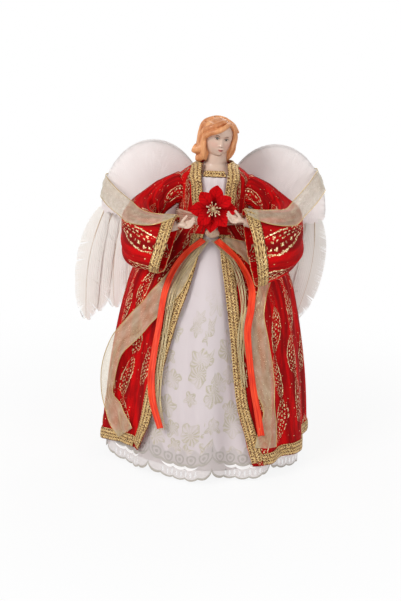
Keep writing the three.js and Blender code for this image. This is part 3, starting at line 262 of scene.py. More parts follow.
paper = Finish("white_paper")
matt = paper.node("ShaderNodeBsdfDiffuse", None, {"Color": dye(0.97, 0.97, 0.97)})
plain = paper.node("ShaderNodeEmission", None, {"Color": (1, 1, 1, 1), "Strength": 1.0})
x, y, _ = paper.split(paper.place())
whiter = x.far(y).step(0.12, 0.6) * 0.12 + 0.88
mixed = paper.node("ShaderNodeMixShader", None, [white_for_camera(paper, whiter), matt, plain])
paper.node("ShaderNodeOutputMaterial", None, [mixed])
floor_mesh = bpy.data.meshes.new("floor")
floor_corners = [(FLOOR_HALF * x, FLOOR_HALF * y, 0) for x, y in ((-1, -1), (1, -1), (1, 1), (-1, 1))]
floor_mesh.from_pydata(floor_corners, [], [(0, 1, 2, 3)])
floor = bpy.data.objects.new("floor", floor_mesh)
bpy.context.scene.collection.objects.link(floor)
floor.data.materials.append(paper.material)
floor.location.z = -FLOOR_DROP

world = bpy.data.worlds.new("studio")
bpy.context.scene.world = world
world.use_nodes = True
sky = Finish("sky", world.node_tree)
light_grey = sky.node("ShaderNodeBackground", None, {"Color": (1, 1, 1, 1), "Strength": SKY_LIGHT})
white = sky.node("ShaderNodeBackground", None, {"Color": (1, 1, 1, 1), "Strength": 1.0})
both = sky.node("ShaderNodeMixShader", None, [white_for_camera(sky, 1.0), light_grey, white])
sky.node("ShaderNodeOutputWorld", None, [both])
bpy.context.scene.view_settings.view_transform = "Standard"
print("floor and sky made")

# %% [markdown]
# ## Tools for cloth
# Every sheet of this figure is a grid of points: rows along it and columns across it. The grid
# carries its own UV map in millimetres, so that a weave or a print keeps its true size.

# %% Smooth tables and curves
def curve_at(xs, ys, x):
    """The height at x of a smooth curve through the points of a table."""
    xs, ys = np.asarray(xs, float), np.asarray(ys, float)
    x = np.clip(np.asarray(x, float), xs[0], xs[-1])
    i = np.clip(np.searchsorted(xs, x, side="right") - 1, 0, len(xs) - 2)
    slope = np.empty_like(ys)
    slope[1:-1] = (ys[2:] - ys[:-2]) / (xs[2:] - xs[:-2])
    slope[0] = (ys[1] - ys[0]) / (xs[1] - xs[0])
    slope[-1] = (ys[-1] - ys[-2]) / (xs[-1] - xs[-2])
    h = xs[i + 1] - xs[i]
    t = (x - xs[i]) / h
    rise = ys[i + 1] - ys[i]
    m0, m1 = slope[i] * h, slope[i + 1] * h
    return ys[i] + t * (m0 + t * (3 * rise - 2 * m0 - m1 + t * (m0 + m1 - 2 * rise)))


def mix(a, b, t):
    return a + (b - a) * t


def smooth(t):
    t = np.clip(t, 0, 1)
    return t * t * (3 - 2 * t)


def spline(points, shares):
    """Points on a smooth line through the given points, at shares of their count."""
    p = np.asarray(points, float)
    p = np.concatenate([2 * p[:1] - p[1:2], p, 2 * p[-1:] - p[-2:-1]])
    at = np.clip(np.atleast_1d(shares).astype(float), 0, 1) * (len(p) - 3)
    i = np.minimum(at.astype(int), len(p) - 4)
    w = (at - i)[:, None]
    a, b, c, d = (p[i + k] for k in range(4))
    gaps = (b - a, c - b, d - c)
    t0, t1, t2 = (np.maximum(np.linalg.norm(q, axis=1, keepdims=True) ** 0.5, 1e-4) for q in gaps)
    m1 = ((b - a) / t0 - (c - a) / (t0 + t1) + (c - b) / t1) * t1
    m2 = ((c - b) / t1 - (d - b) / (t1 + t2) + (d - c) / t2) * t1
    return b + w * (m1 + w * (3 * (c - b) - 2 * m1 - m2 + w * (m1 + m2 - 2 * (c - b))))


def crowned(s):
    """1 over most of a strip's width, and 0 at its two edges."""
    return 1 - np.abs(2 * s - 1) ** 4


def at_edges(s):
    """-1 and 1 at a strip's two edges, and almost nothing between them."""
    return np.sign(2 * s - 1) * np.abs(2 * s - 1) ** 6


def once_round(count):
    """Angles once round the figure, as one row."""
    return np.linspace(0, TAU, count)[None, :]


print("curve test", float(curve_at([0, 1, 2], [0, 1, 4], 1.5)))

# %% Grids
def on_cloth(across, along):
    """Places on the flat cloth, in millimetres."""
    return np.stack(np.broadcast_arrays(across, along), -1)


def grid(points, cloth, closed=False, drop=None):
    """Points are rows x columns x 3, and cloth their places on the flat cloth. In a closed grid
    the last column lies on the first. drop says which squares are left out."""
    rows, columns = points.shape[:2]
    kept = columns - 1 if closed else columns
    number = np.arange(rows * kept).reshape(rows, kept)
    number = np.concatenate([number, number[:, :1]], 1) if closed else number
    corners = [(0, 0), (0, 1), (1, 1), (1, 0)]
    pick = lambda a: np.stack([a[j : j + rows - 1, i : i + columns - 1] for j, i in corners], 2)
    faces, uvs = pick(number).reshape(-1, 4), pick(cloth).reshape(-1, 4, 2)
    if drop is not None:
        keep = ~drop(points[:-1, :-1].reshape(-1, 3))
        faces, uvs = faces[keep], uvs[keep]
    return points[:, :kept].reshape(-1, 3), faces, uvs


print("a grid of 3 x 4 points has", len(grid(np.zeros((3, 4, 3)), np.zeros((3, 4, 2)))[1]), "squares")

# %% Pieces and what they stand for
def make_piece(name, grids, material, stands_for=(), thickness=0.0):
    """Joins grids into one mesh that rides on the one body and stands for those solids."""
    points, faces, uvs, start = [], [], [], 0
    for p, f, uv in grids:
        points.append(p)
        faces.append(f + start)
        uvs.append(uv)
        start += len(p)
    points, faces, uvs = np.concatenate(points), np.concatenate(faces), np.concatenate(uvs)
    mesh = bpy.data.meshes.new(name)
    mesh.from_pydata((points * MM).tolist(), [], faces.tolist())
    mesh.uv_layers.new(name="Cloth").data.foreach_set("uv", uvs.astype(np.float32).ravel())
    mesh.shade_smooth()
    mesh.materials.append(material)
    piece = bpy.data.objects.new(name, mesh)
    bpy.context.scene.collection.objects.link(piece)
    if thickness:
        solid = piece.modifiers.new("thickness", "SOLIDIFY")
        solid.thickness = thickness * MM
        solid.offset = 0
    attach(piece, "root")
    if stands_for:
        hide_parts(*stands_for)
    print(name, len(points), "points")
    return piece


def flat_area(piece):
    """The area of a sheet's single layer, in square metres."""
    piece.data.calc_loop_triangles()
    return sum(t.area for t in piece.data.loop_triangles)


def declare_sheet(piece, wide, long, cut_share=1.0):
    """Works out a sheet's cut area from its mesh, between 0.3 of the flat size in metres and all of it.
    cut_share takes off what fine folds add to the area."""
    area = min(max(flat_area(piece) * cut_share, 0.3 * wide * long), wide * long)


print("pieces and sheets ready")

# %% Tubes
def tube_grid(line, radius, sides=8, flatten=1.0):
    """A tube along points, closed at its ends by shrinking to nothing. flatten squeezes it."""
    line = np.asarray(line, float)
    ahead = np.gradient(line, axis=0)
    ahead /= np.linalg.norm(ahead, axis=1, keepdims=True) + 1e-9
    start = np.cross(ahead[0], (0.0, 0.0, 1.0) if abs(ahead[0][2]) < 0.9 else (1.0, 0.0, 0.0))
    normal = start / np.linalg.norm(start)
    rings, share = [], np.linspace(0, 1, len(line))
    lengths = np.concatenate([[0], np.cumsum(np.linalg.norm(np.diff(line, axis=0), axis=1))])
    angle = np.linspace(0, TAU, sides + 1)
    for k in range(len(line)):
        normal = normal - ahead[k] * normal.dot(ahead[k])
        normal /= np.linalg.norm(normal)
        side = np.cross(ahead[k], normal)
        r = radius(share[k]) if callable(radius) else radius
        ring = np.outer(np.cos(angle), normal) + flatten * np.outer(np.sin(angle), side)
        rings.append(line[k] + r * ring)
    rings = [np.repeat(line[:1], sides + 1, 0), *rings, np.repeat(line[-1:], sides + 1, 0)]
    lengths = np.concatenate([[0], lengths, [lengths[-1]]])
    cloth = np.stack(np.meshgrid(angle, lengths), -1)
    return grid(np.array(rings), cloth, closed=True)


print("tools ready")

# %% [markdown]
# ## The shape of the robe
# Robe, skirts, sash, braid and ribbons all lie on one surface: an oval that flares from the waist
# to the hem, with folds that grow on the way down. These are the solids' own figures, and finer
# folds are added here, always outwards, so that the red never shows through the white below it.

# %% The robe's surface
HEM, WAIST, COLLAR = 13.0, 252.0, 313.0
HEM_HALF, WAIST_WIDE, WAIST_DEEP = 110.0, 37.0, 34.0
SHOULDER, NECK_WIDE, NECK_DEEP = 37.0, 18.0, 17.0
ARMHOLE, ARMHOLE_HALF, ARMHOLE_INNER = 285.0, 12.6, 20
FLARE = [0, 0.226, 0.42, 0.657, 0.78, 0.887, 0.95, 1]
FLARE_WIDE = [1, 0.94, 0.86, 0.72, 0.6, 0.37, 0.18, 0]
FLARE_DEEP = [1, 0.91, 0.75, 0.55, 0.43, 0.28, 0.15, 0]
CHEST = [0, 0.16, 0.38, 0.62, 0.77, 0.85, 0.93, 1]
CHEST_WIDE = [1, 0.95, 0.95, 1, 1, 0.74, 0.37, 0]
CHEST_DEEP = [1, 0.82, 0.7, 0.64, 0.6, 0.48, 0.24, 0]


def skirt_share(z):
    return (z - HEM) / (WAIST - HEM)


def chest_share(z):
    return (z - WAIST) / (COLLAR - WAIST)


def half_width(z):
    low = mix(WAIST_WIDE, HEM_HALF, curve_at(FLARE, FLARE_WIDE, skirt_share(z)))
    high = mix(NECK_WIDE, SHOULDER, curve_at(CHEST, CHEST_WIDE, chest_share(z)))
    return np.where(z < WAIST, low, high)


def half_depth(z):
    low = mix(WAIST_DEEP, HEM_HALF, curve_at(FLARE, FLARE_DEEP, skirt_share(z)))
    high = mix(NECK_DEEP, WAIST_DEEP, curve_at(CHEST, CHEST_DEEP, chest_share(z)))
    return np.where(z < WAIST, low, high)


def main_folds(angle, z):
    rise = np.clip(skirt_share(z), 0, 1)
    wave = np.cos(11 * angle) + 0.45 * np.cos(6 * angle + 1)
    return 5.5 * (1 - rise * rise) * wave / 1.45


def fine_folds(angle, z):
    rise = np.clip(skirt_share(z), 0, 1)
    long = 0.5 + 0.5 * np.sin(19 * angle + 1.2 * np.sin(2 * angle) + 0.011 * z)
    short = 0.5 + 0.5 * np.sin(33 * angle + 2.1 + 0.9 * np.sin(5 * angle) + 0.023 * z)
    gather = 0.5 + 0.5 * np.sin(46 * angle + 0.05 * z)
    near_waist = np.exp(-(((z - WAIST + 6) / 22) ** 2))
    return (2.6 * long**2 + 0.9 * short) * (1 - rise**1.5) + 0.7 * gather * near_waist


def robe_point(angle, z, offset=0.0, fine=True):
    angle, z = np.broadcast_arrays(np.asarray(angle, float), np.asarray(z, float))
    push = main_folds(angle, z) + offset + (fine_folds(angle, z) if fine else 0)
    x = (half_width(z) + push) * np.sin(angle)
    y = -(half_depth(z) + push) * np.cos(angle)
    return np.stack([x, y, z], -1)


def in_armhole(p):
    return (np.hypot(p[:, 1], p[:, 2] - ARMHOLE) < ARMHOLE_HALF) & (np.abs(p[:, 0]) > ARMHOLE_INNER)


print("hem half width", float(half_width(np.array(HEM))), "waist", float(half_width(np.array(WAIST))))

# %% [markdown]
# ## Red velvet with a gold print
# The robe is stretch velvet with a foil print of long leaves in swaying columns. The print is a
# formula on the cloth's own millimetres: u runs from -1 to 1 across a leaf, a line of gold lies
# wherever u is a multiple of a half, and all lines but the outline are broken into dashes. The
# pile is a fine noise, and crushed places are lighter. A slow noise sways the lines and shifts the
# dashes, as if drawn by hand, and here and there the foil is worn off. A fine noise paints the foil bright
# cream in spots: painted highlights.

# %% Velvet finish
COLUMN_WIDE, LEAF_LONG, DASH_LONG = 27.0, 48.0, 4.6


def make_velvet():
    finish = Finish("red_velvet_gold_print")
    across, along = finish.cloth()
    place = finish.vector(across, along)
    column = across / COLUMN_WIDE
    cell = column.floor()
    slot = along / LEAF_LONG + (cell * 0.618).fract()
    rise = slot.fract()
    sway = (slot * math.pi + cell).sin() * 4.4
    loose = finish.noise(place, 0.2, 2.0)
    x = (column.fract() - 0.5) * COLUMN_WIDE + sway + (loose - 0.5) * 4.0
    chance = ((cell * 3.7 + slot.floor() * 2.3).sin() * 43.7).fract()
    half = (rise * math.pi).sin().high(0.02) ** 0.7 * (chance * 3.0 + 5.2)
    u = x / half
    inside = 1.0 - abs(u).step(1.08, 1.2)
    lines = u / 0.5 + 0.5
    line = 1.0 - abs(lines.fract() - 0.5).step(0.13, 0.27)
    dash_place = along + lines.floor() * 2.3 + loose * 4.0
    dashes = (dash_place * (TAU / DASH_LONG)).sin().step(-0.45, 0.1)
    rim = abs(u).step(0.74, 0.80)
    worn = finish.noise(place, 0.16, 3.0).step(0.40, 0.47)
    leaf = inside * line * dashes.high(rim * 0.9) * worn * chance.step(0.16, 0.2)
    speck = finish.cells(place, 0.17).step(0.13, 0.07)
    gold = leaf.high(speck * 0.8)
    crushed = finish.noise(finish.vector(across * 0.11, along * 0.016), 1.0, 4.0).step(0.38, 0.62)
    pile = finish.noise(finish.place(), 1500.0, 2.0)
    red = finish.blend(crushed, dye(0.54, 0.0, 0.01), dye(0.86, 0.0, 0.02))
    red = finish.blend((pile.step(0.3, 0.7) * 0.3).high(inside * 0.35), red, dye(0.44, 0.0, 0.01))
    # glint paints the foil bright cream in spots, as painted highlights on the metal.
    glint = finish.noise(finish.vector(across, along, 7.0), 1.1, 1.0).step(0.40, 0.60)
    foil_with_painted_glints = finish.blend(glint, dye(0.62, 0.41, 0.19), dye(1.0, 0.93, 0.74))
    height = pile * 0.25 + gold * 0.5 + crushed * 0.3
    return finish.done(
        Base_Color=finish.blend(gold, red, foil_with_painted_glints),
        Roughness=0.75 - gold * 0.42,
        Metallic=gold * 0.55,
        Normal=finish.bump(height, 0.35),
        Specular_IOR_Level=0.12,
        Sheen_Weight=0.05,
        Sheen_Roughness=0.35,
        Sheen_Tint=dye(1.0, 0.25, 0.22),
    )


velvet = make_velvet()
print("velvet nodes", len(velvet.node_tree.nodes))

# %% [markdown]
# ## Gold braid
# The braid is a lamé tape of plaited rows, with small dark holes along the seams between the rows
# and a looped edge. Its body is a strip that follows the robe's edge; the plait is colour and
# bump, and its strands lean the other way in every second row. Its crests are painted lighter as a
# painted highlight, with painted glints, and the grooves between rows are painted darker as shade.

# %% Braid finish
BRAID_ROW, STRAND_PITCH = 3.4, 2.8


def make_braid():
    finish = Finish("gold_braid")
    along, across = finish.cloth()
    place = finish.vector(along, across)
    rows = across / BRAID_ROW
    lean = ((rows.floor() * 0.5).fract() - 0.25) * 4.4
    y = rows.fract() - 0.5
    loose = finish.noise(place, 0.22, 2.0) * 3.5
    strand = ((along + loose + y * BRAID_ROW * lean) * (TAU / STRAND_PITCH)).sin()
    plait = strand * 0.5 + 0.5
    groove = abs(y).step(0.34, 0.5)
    seam = (rows + 0.5).floor()
    hole_x = (((along + loose * 0.5) / STRAND_PITCH + seam * 0.5).fract() - 0.5) * STRAND_PITCH
    hole = 1.0 - hole_x.far((abs(y) - 0.5) * BRAID_ROW).step(0.45, 0.95)
    eye = finish.cells(place, 0.40).step(0.36, 0.22).high(hole)
    grain = finish.noise(place, 0.9)
    # sparkle paints bright glints on the plait's crests: painted highlights.
    sparkle = finish.cells(finish.vector(along, across, 2.0), 0.55).step(0.34, 0.18) * plait
    # The plait's crests are painted lighter gold, a painted highlight, and a grain noise varies the tone at
    # random.
    tone = plait * 0.5 + grain.step(0.3, 0.7) * 0.5
    gold = finish.blend(tone, dye(0.60, 0.41, 0.20), dye(0.99, 0.86, 0.60))
    gold = finish.blend(sparkle * 0.8, gold, dye(1.0, 0.95, 0.76))
    # Painted shade darkens the grooves between the rows; the holes and scattered spots are dark red-brown,
    # where the red beneath shows.
    painted_groove_shade_and_holes = (groove * 0.45 * (1.0 - plait * 0.5)).high(eye * 0.85)
    colour = finish.blend(painted_groove_shade_and_holes, gold, dye(0.36, 0.11, 0.05))
    return finish.done(
        Base_Color=colour,
        Metallic=0.35,
        Roughness=0.5 - sparkle * 0.25 + groove * 0.2,
        Normal=finish.bump(plait * 0.7 - groove * 0.5 - eye * 0.7 + grain * 0.4, 0.8),
        Specular_IOR_Level=0.3,
    )


braid = make_braid()
print("braid nodes", len(braid.node_tree.nodes))

# %% [markdown]
# ## The robe
# A tailor would cut a back and two fronts and sew them at the sides. Each is one grid from the
# hem to the collar, and the squares inside the armhole are left out, where the sleeve is sewn in.

# %% Edges of the robe
SEAM, SEAM_GAP = 97 * DEGREE, 0.08 * DEGREE
EDGE = [0, 0.09, 0.15, 0.25, 0.36, 0.5, 0.63, 0.75, 0.87, 1]
LEFT_EDGE = [27.5, 24.5, 22.8, 19, 16.8, 15.2, 13.2, 11, 9, 8]
RIGHT_EDGE = [38, 33, 30.5, 28.5, 26.5, 23.5, 19.8, 15, 12, 10]
LAPEL = [0, 0.2, 0.45, 0.7, 0.85, 1]
LEFT_LAPEL = [8, 14, 18, 20, 26, 44]
RIGHT_LAPEL = [10, 14, 18, 20, 26, 44]
LEFT_RISE, RIGHT_RISE = 4.0, 11.0
CLOTH_THICK = 0.9


def open_edge(side, z):
    low = curve_at(EDGE, LEFT_EDGE if side > 0 else RIGHT_EDGE, skirt_share(z))
    high = curve_at(LAPEL, LEFT_LAPEL if side > 0 else RIGHT_LAPEL, chest_share(z))
    return side * DEGREE * np.where(z < WAIST, low, high)


def raised(angle, z):
    """The hem is lifted in front, more on the right than on the left."""
    rise = np.where(angle > 0, LEFT_RISE, RIGHT_RISE)
    turn = smooth((88 * DEGREE - np.abs(angle)) / (42 * DEGREE))
    return z + rise * turn * (1 - np.clip(skirt_share(z), 0, 1)) ** 3


def robe_panel(start, end, columns):
    z = np.concatenate([np.linspace(HEM, WAIST, 120)[:-1], np.linspace(WAIST, COLLAR, 50)])[:, None]
    angle = mix(start(z), end(z), np.linspace(0, 1, columns)[None, :])
    points = robe_point(angle, raised(angle, z))
    wide = 0.5 * HEM_HALF + 0.5 * half_width(z)
    middle = 0.5 * (angle[0, 0] + angle[0, -1])
    cloth = on_cloth((angle - middle) * wide + COLUMN_WIDE / 2, z)
    return grid(points, cloth, drop=in_armhole)


def velvet_piece(name, cut, stands_for):
    return make_piece(name, [cut], velvet, [stands_for], thickness=CLOTH_THICK)


def fixed(angle):
    return lambda z: np.full_like(z, angle)


# %% Make the robe's three panels
robe = {}
for name, side in SIDES:
    cut = robe_panel(lambda z: open_edge(side, z), fixed(side * (SEAM - SEAM_GAP)), 130)
    robe[name] = velvet_piece(f"robe_{name}_front_cloth", cut, f"robe_{name}_front")
back_cut = robe_panel(fixed(SEAM + SEAM_GAP), fixed(TAU - SEAM - SEAM_GAP), 260)
robe["back"] = velvet_piece("robe_back_cloth", back_cut, "robe_back")
for name, piece in robe.items():
    print(name, "cloth", round(flat_area(piece), 4), "square metres")

# %% [markdown]
# The braid is sewn round every edge: up the fronts, round the neck and along the hem. A strip is
# laid along a route on the robe, a little crowned, and its two edges are scalloped by the loops.

# %% Strips that lie on the robe
BRAID_WIDE, BRAID_LIFT, BRAID_CROWN = 11.5, 0.9, 0.7
LOOP_LONG, LOOP_DEEP = 3.7, 0.9
STEP_UP = 1.3


def loops_along(length):
    return np.abs(np.sin(length * math.pi / LOOP_LONG))


def strip_on_robe(route, width, lift, columns, rows, crown=0.0, loops=0.0):
    """Route is rows of (degrees, height). Width and lift are numbers or functions of the share."""
    flat_route = np.array([[a * DEGREE * HEM_HALF, z, 0] for a, z in route])
    shares = np.linspace(0, 1, rows)
    here = spline(flat_route, shares)
    ahead = spline(flat_route, np.minimum(1, shares + 0.01))
    behind = spline(flat_route, np.maximum(0, shares - 0.01))
    angle, z = here[:, 0] / HEM_HALF, here[:, 1]
    centre = robe_point(angle, z, 0, False)
    tangent = robe_point(ahead[:, 0] / HEM_HALF, ahead[:, 1], 0, False)
    tangent -= robe_point(behind[:, 0] / HEM_HALF, behind[:, 1], 0, False)
    over = robe_point(angle + DEGREE, z, 0, False) - centre
    up = robe_point(angle, z + STEP_UP, 0, False) - centre
    normal = np.cross(over, up)
    normal /= np.linalg.norm(normal, axis=1, keepdims=True)
    side = np.cross(normal, tangent)
    side /= np.linalg.norm(side, axis=1, keepdims=True)
    length = np.concatenate([[0], np.cumsum(np.linalg.norm(np.diff(centre, axis=0), axis=1))])
    s = np.linspace(0, 1, columns)[None, :]
    t = shares[:, None]
    wide = width(t) if callable(width) else np.full_like(t, width)
    edge = 1 + loops * loops_along(length[:, None]) / wide * np.abs(at_edges(s))
    shift = wide * (s - 0.5) * edge
    turn = (np.sum(side * over, 1) / np.sum(over * over, 1))[:, None] * DEGREE * shift
    climb = (np.sum(side * up, 1) / np.sum(up * up, 1))[:, None] * STEP_UP * shift
    raise_by = lift(s, t) if callable(lift) else lift
    points = robe_point(angle[:, None] + turn, z[:, None] + climb, raise_by + crown * crowned(s))
    return grid(points, on_cloth(length[:, None], wide * s)), points


def braid_piece(name, cut, stands_for):
    return make_piece(name, [cut], braid, [stands_for], thickness=CLOTH_THICK)


def braid_middle(side, z):
    """The angle at which the middle of a braid lies when its rim is on a front's open edge."""
    z = np.array(z)
    return float(open_edge(side, z)) + side * BRAID_WIDE / 2 / float(half_width(z))


# %% Braid up the fronts, round the collar and on the hem
FRONT_STOPS = (0.022, 0.16, 0.28, 0.4, 0.52, 0.64, 0.76, 0.87, 0.97)
COLLAR_STOPS = (0.24, 0.34, 0.45, 0.6, 0.74, 0.86, 0.96)
trims = {"left": [], "right": [], "back": []}
for name, side in SIDES:
    route = []
    for share in FRONT_STOPS:
        z = mix(HEM, WAIST, share)
        angle = braid_middle(side, z)
        route.append((angle / DEGREE, float(raised(np.array(angle), z))))
    cut, _ = strip_on_robe(route, BRAID_WIDE, BRAID_LIFT, 13, 420, BRAID_CROWN, LOOP_DEEP)
    trims[name].append(braid_piece(f"{name}_front_braid", cut, f"{name}_front_trim"))
    route = []
    for share in COLLAR_STOPS:
        z = mix(WAIST, COLLAR, share)
        route.append((braid_middle(side, z) / DEGREE, z))
    nape = mix(WAIST, COLLAR, 0.98)
    route += [(side * 100, nape), (side * 140, nape), (side * 178, nape)]
    narrow = lambda t: BRAID_WIDE * mix(1, 0.72, smooth(t * 2 - 0.7))
    cut, _ = strip_on_robe(route, narrow, BRAID_LIFT, 13, 240, BRAID_CROWN, LOOP_DEEP)
    trims[name].append(braid_piece(f"{name}_collar_braid", cut, f"{name}_collar_trim"))


def hem_braid(start, end, rows):
    """Start may be a function of the height, so that the strip's end is cut aslant."""
    level = HEM + 1.5 + BRAID_WIDE / 2
    t = np.linspace(0, 1, rows)[:, None]
    s = np.linspace(0, 1, 13)[None, :]
    begin = start(level + BRAID_WIDE * (s - 0.5)) if callable(start) else start
    angle = np.broadcast_to(mix(begin, end, t), (rows, 13))
    length = np.abs(angle) * HEM_HALF
    loops = LOOP_DEEP * loops_along(length) * at_edges(s)
    z = raised(angle, level) + BRAID_WIDE * (s - 0.5) + loops / 2
    points = robe_point(angle, z, BRAID_LIFT + BRAID_CROWN * crowned(s))
    return grid(points, on_cloth(length, BRAID_WIDE * s))


for name, side in SIDES:
    beside = lambda z: open_edge(side, z) + side * 0.98 * BRAID_WIDE / half_width(z)
    cut = hem_braid(beside, side * (SEAM - 2 * SEAM_GAP), 260)
    trims[name].append(braid_piece(f"{name}_hem_braid", cut, f"{name}_hem_trim"))
cut = hem_braid(SEAM + 2 * SEAM_GAP, TAU - SEAM - 2 * SEAM_GAP, 520)
trims["back"].append(braid_piece("back_hem_braid", cut, "back_hem_trim"))
for name, piece in robe.items():
    wide = 0.40 if name == "back" else 0.20
    declare_sheet(piece, wide, 0.31, 0.98)

# %% [markdown]
# ## The sleeves
# Each sleeve is a wide bell of the same velvet, sewn into the armhole and held up from inside by
# a wadded arm. It is one closed grid of rings along a bent middle line, with soft folds that grow
# towards the cuff, and a band of braid on the cuff.

# %% The sleeve's shape
SLEEVE_X = [38.6, 57, 72, 72.5, 56, 34]
SLEEVE_Y = [0, -1, -11, -38, -63, -71]
SLEEVE_DROP = [0, 13, 31, 41, 45, 46]
SLEEVE_HIGH = [15, 18, 22, 24.5, 26.5, 28]
SLEEVE_DEEP = [14, 15.5, 17, 15, 12.3, 9]
SECTIONS = np.linspace(0, 1, 6)
sleeve_line = np.stack([SLEEVE_X, SLEEVE_Y, ARMHOLE - np.array(SLEEVE_DROP)], 1)
CUFF_LEAN, WRIST_LIFT = 6.5, 0.79
SLEEVE_LONG, SEAM_LONG, SLEEVE_ROUND = 118, 8, 27.0
CUFF_RISE, CUFF_OUT, CUFF_DROP = {1: 6.0, -1: -1.0}, {1: 2.5, -1: 6.5}, {1: 11.0, -1: -4.0}


def sleeve_centre(side, t):
    p = spline(sleeve_line, t)
    t = np.atleast_1d(t)
    p[:, 0] += CUFF_OUT[side] * smooth(2 * t - 1)
    p[:, 2] += CUFF_RISE[side] * smooth(t)
    return p


def rounded(wave):
    return np.sign(wave) * np.abs(wave) ** 0.72


def sleeve_folds(side, angle, t):
    drape = 0.5 + 0.5 * np.sin(4 * angle + 7 * t + side)
    crease = 0.5 + 0.5 * np.sin(9 * angle - 11 * t + 2.0 * np.sin(3 * angle) + 2 * side)
    gather = np.abs(np.sin(7 * angle + 0.8 * np.sin(3 * angle))) * np.exp(-((t - 0.1) / 0.16) ** 2)
    return 2.0 * drape**2 * smooth(t * 1.6) + 0.9 * crease**3 * smooth(t * 3) + 1.3 * gather


def sleeve_point(side, angle, t, offset=0.0):
    """Angles run round the sleeve from its top, and t from the shoulder to the cuff."""
    angle, t, offset = np.broadcast_arrays(np.asarray(angle, float), np.asarray(t, float), offset)
    shape, flat = t.shape, t.ravel()
    centre = sleeve_centre(side, flat).reshape(*shape, 3)
    later, earlier = np.minimum(flat + 0.004, 1), np.maximum(flat - 0.004, 0)
    ahead = spline(sleeve_line, later) - spline(sleeve_line, earlier)
    ahead[:, 2] = 0
    ahead /= np.linalg.norm(ahead, axis=1, keepdims=True)
    out = np.stack([-ahead[:, 1], ahead[:, 0], 0 * ahead[:, 0]], 1).reshape(*shape, 3)
    push = offset + sleeve_folds(side, angle, t)
    high = curve_at(SECTIONS, SLEEVE_HIGH, t) + push
    deep = curve_at(SECTIONS, SLEEVE_DEEP, t) + push
    full = 1 - 0.16 * np.cos(angle) * smooth(t)
    splay = 8 * smooth(t) * (1 - np.cos(angle)) / 2 * np.sign(out[..., 0] - out[..., 1])
    p = centre + out * (deep * rounded(np.sin(angle)) * full + splay)[..., None]
    drop = CUFF_DROP[side] * smooth(1.7 * t - 0.7) * ((1 - np.cos(angle)) / 2) ** 2
    p[..., 2] += high * rounded(np.cos(angle)) - drop
    p[..., 0] = side * (p[..., 0] - CUFF_LEAN * rounded(np.cos(angle)) * smooth(2 * t - 1))
    return p


def sleeve_grid(side, rows, columns):
    t = np.linspace(0, 1, rows)[:, None]
    points = sleeve_point(side, once_round(columns), t)
    root = points[0]
    share_out = np.clip(1 - (root[:, 1] / half_depth(root[:, 2])) ** 2, 0.05, 1)
    on_robe = half_width(root[:, 2]) * np.sqrt(share_out)
    seam_high = ARMHOLE + (root[:, 2] - ARMHOLE) * 0.96
    seam = np.stack([side * (on_robe + 0.2), root[:, 1] * 0.96, seam_high], 1)
    share = np.linspace(0, 1, 9)[:-1, None, None]
    gather = 0.8 * np.sin(math.pi * share) * np.array([0, 0.5, 0.5]) * (root - root.mean(0)) / 15
    points = np.concatenate([mix(seam, root, share) + gather, points])
    seam_part = np.linspace(-SEAM_LONG, 0, 9)[:-1]
    length = np.concatenate([seam_part, np.linspace(0, SLEEVE_LONG, rows)])[:, None]
    return grid(points, on_cloth(once_round(columns) * SLEEVE_ROUND, length), closed=True)


print("middle of the left cuff", np.round(sleeve_centre(1, 1.0)[0], 1))

# %% Make the sleeves and their cuffs
CUFF = 0.90
sleeves, cuffs = {}, {}
for name, side in SIDES:
    cut = sleeve_grid(side, 110, 181)
    sleeves[name] = velvet_piece(f"{name}_sleeve_cloth", cut, f"{name}_sleeve")
    t = np.linspace(CUFF, 1.0, 15)[:, None]
    angle = once_round(361)
    s = (t - CUFF) / (1 - CUFF)
    loops = 0.005 * np.abs(np.sin(angle * 27)) * at_edges(s)
    points = sleeve_point(side, angle, np.minimum(t + loops, 1), 0.9 + 0.8 * crowned(s))
    band = grid(points, on_cloth(angle * SLEEVE_ROUND, s * BRAID_WIDE), closed=True)
    cuffs[name] = braid_piece(f"{name}_cuff_braid", band, f"{name}_cuff_trim")
    declare_sheet(sleeves[name], 0.2, 0.15)

# %% [markdown]
# The arms are wadding rolled round one wire. They barely show at the wrists, but they hold the
# sleeves, so they get their own soft tubes, in a cotton finish with a little fluff.

# %% Cotton and wadded arms
def make_cotton(name, colour):
    finish = Finish(name)
    fluff = finish.noise(finish.place(), 900.0)
    tone = finish.blend(fluff.step(0.35, 0.7), colour, (1, 1, 1, 1))
    return finish.done(
        Base_Color=finish.blend(fluff * 0.25, colour, tone),
        Roughness=0.9,
        Normal=finish.bump(fluff, 0.4),
        Sheen_Weight=0.3,
    )


cotton = make_cotton("cotton_wadding", dye(0.93, 0.91, 0.88))
arm_cotton = make_cotton("arm_cotton", dye(0.78, 0.66, 0.58))


def arm_point(side, t):
    t = np.atleast_1d(t).astype(float)
    high = curve_at(SECTIONS, SLEEVE_HIGH, t)
    radius = curve_at([0, 0.5, 0.8, 1], [9, 9, 5.8, 4.4], t)
    p = sleeve_centre(side, t)
    late = smooth(2 * t - 1)
    p[:, 2] += np.maximum(0, high * mix(0.5, WRIST_LIFT, late) - radius * 0.3) * smooth(t * 2.5)
    p[:, 0] = side * (p[:, 0] - CUFF_LEAN * WRIST_LIFT * late)
    return p


def hand_direction(side):
    plan = sleeve_line[-1] - spline(sleeve_line, 0.97)[0]
    plan = plan / np.linalg.norm(plan)
    way = np.array([side * plan[0], plan[1] * 0.4, abs(plan[0]) * math.tan(18 * DEGREE)])
    return way / np.linalg.norm(way)


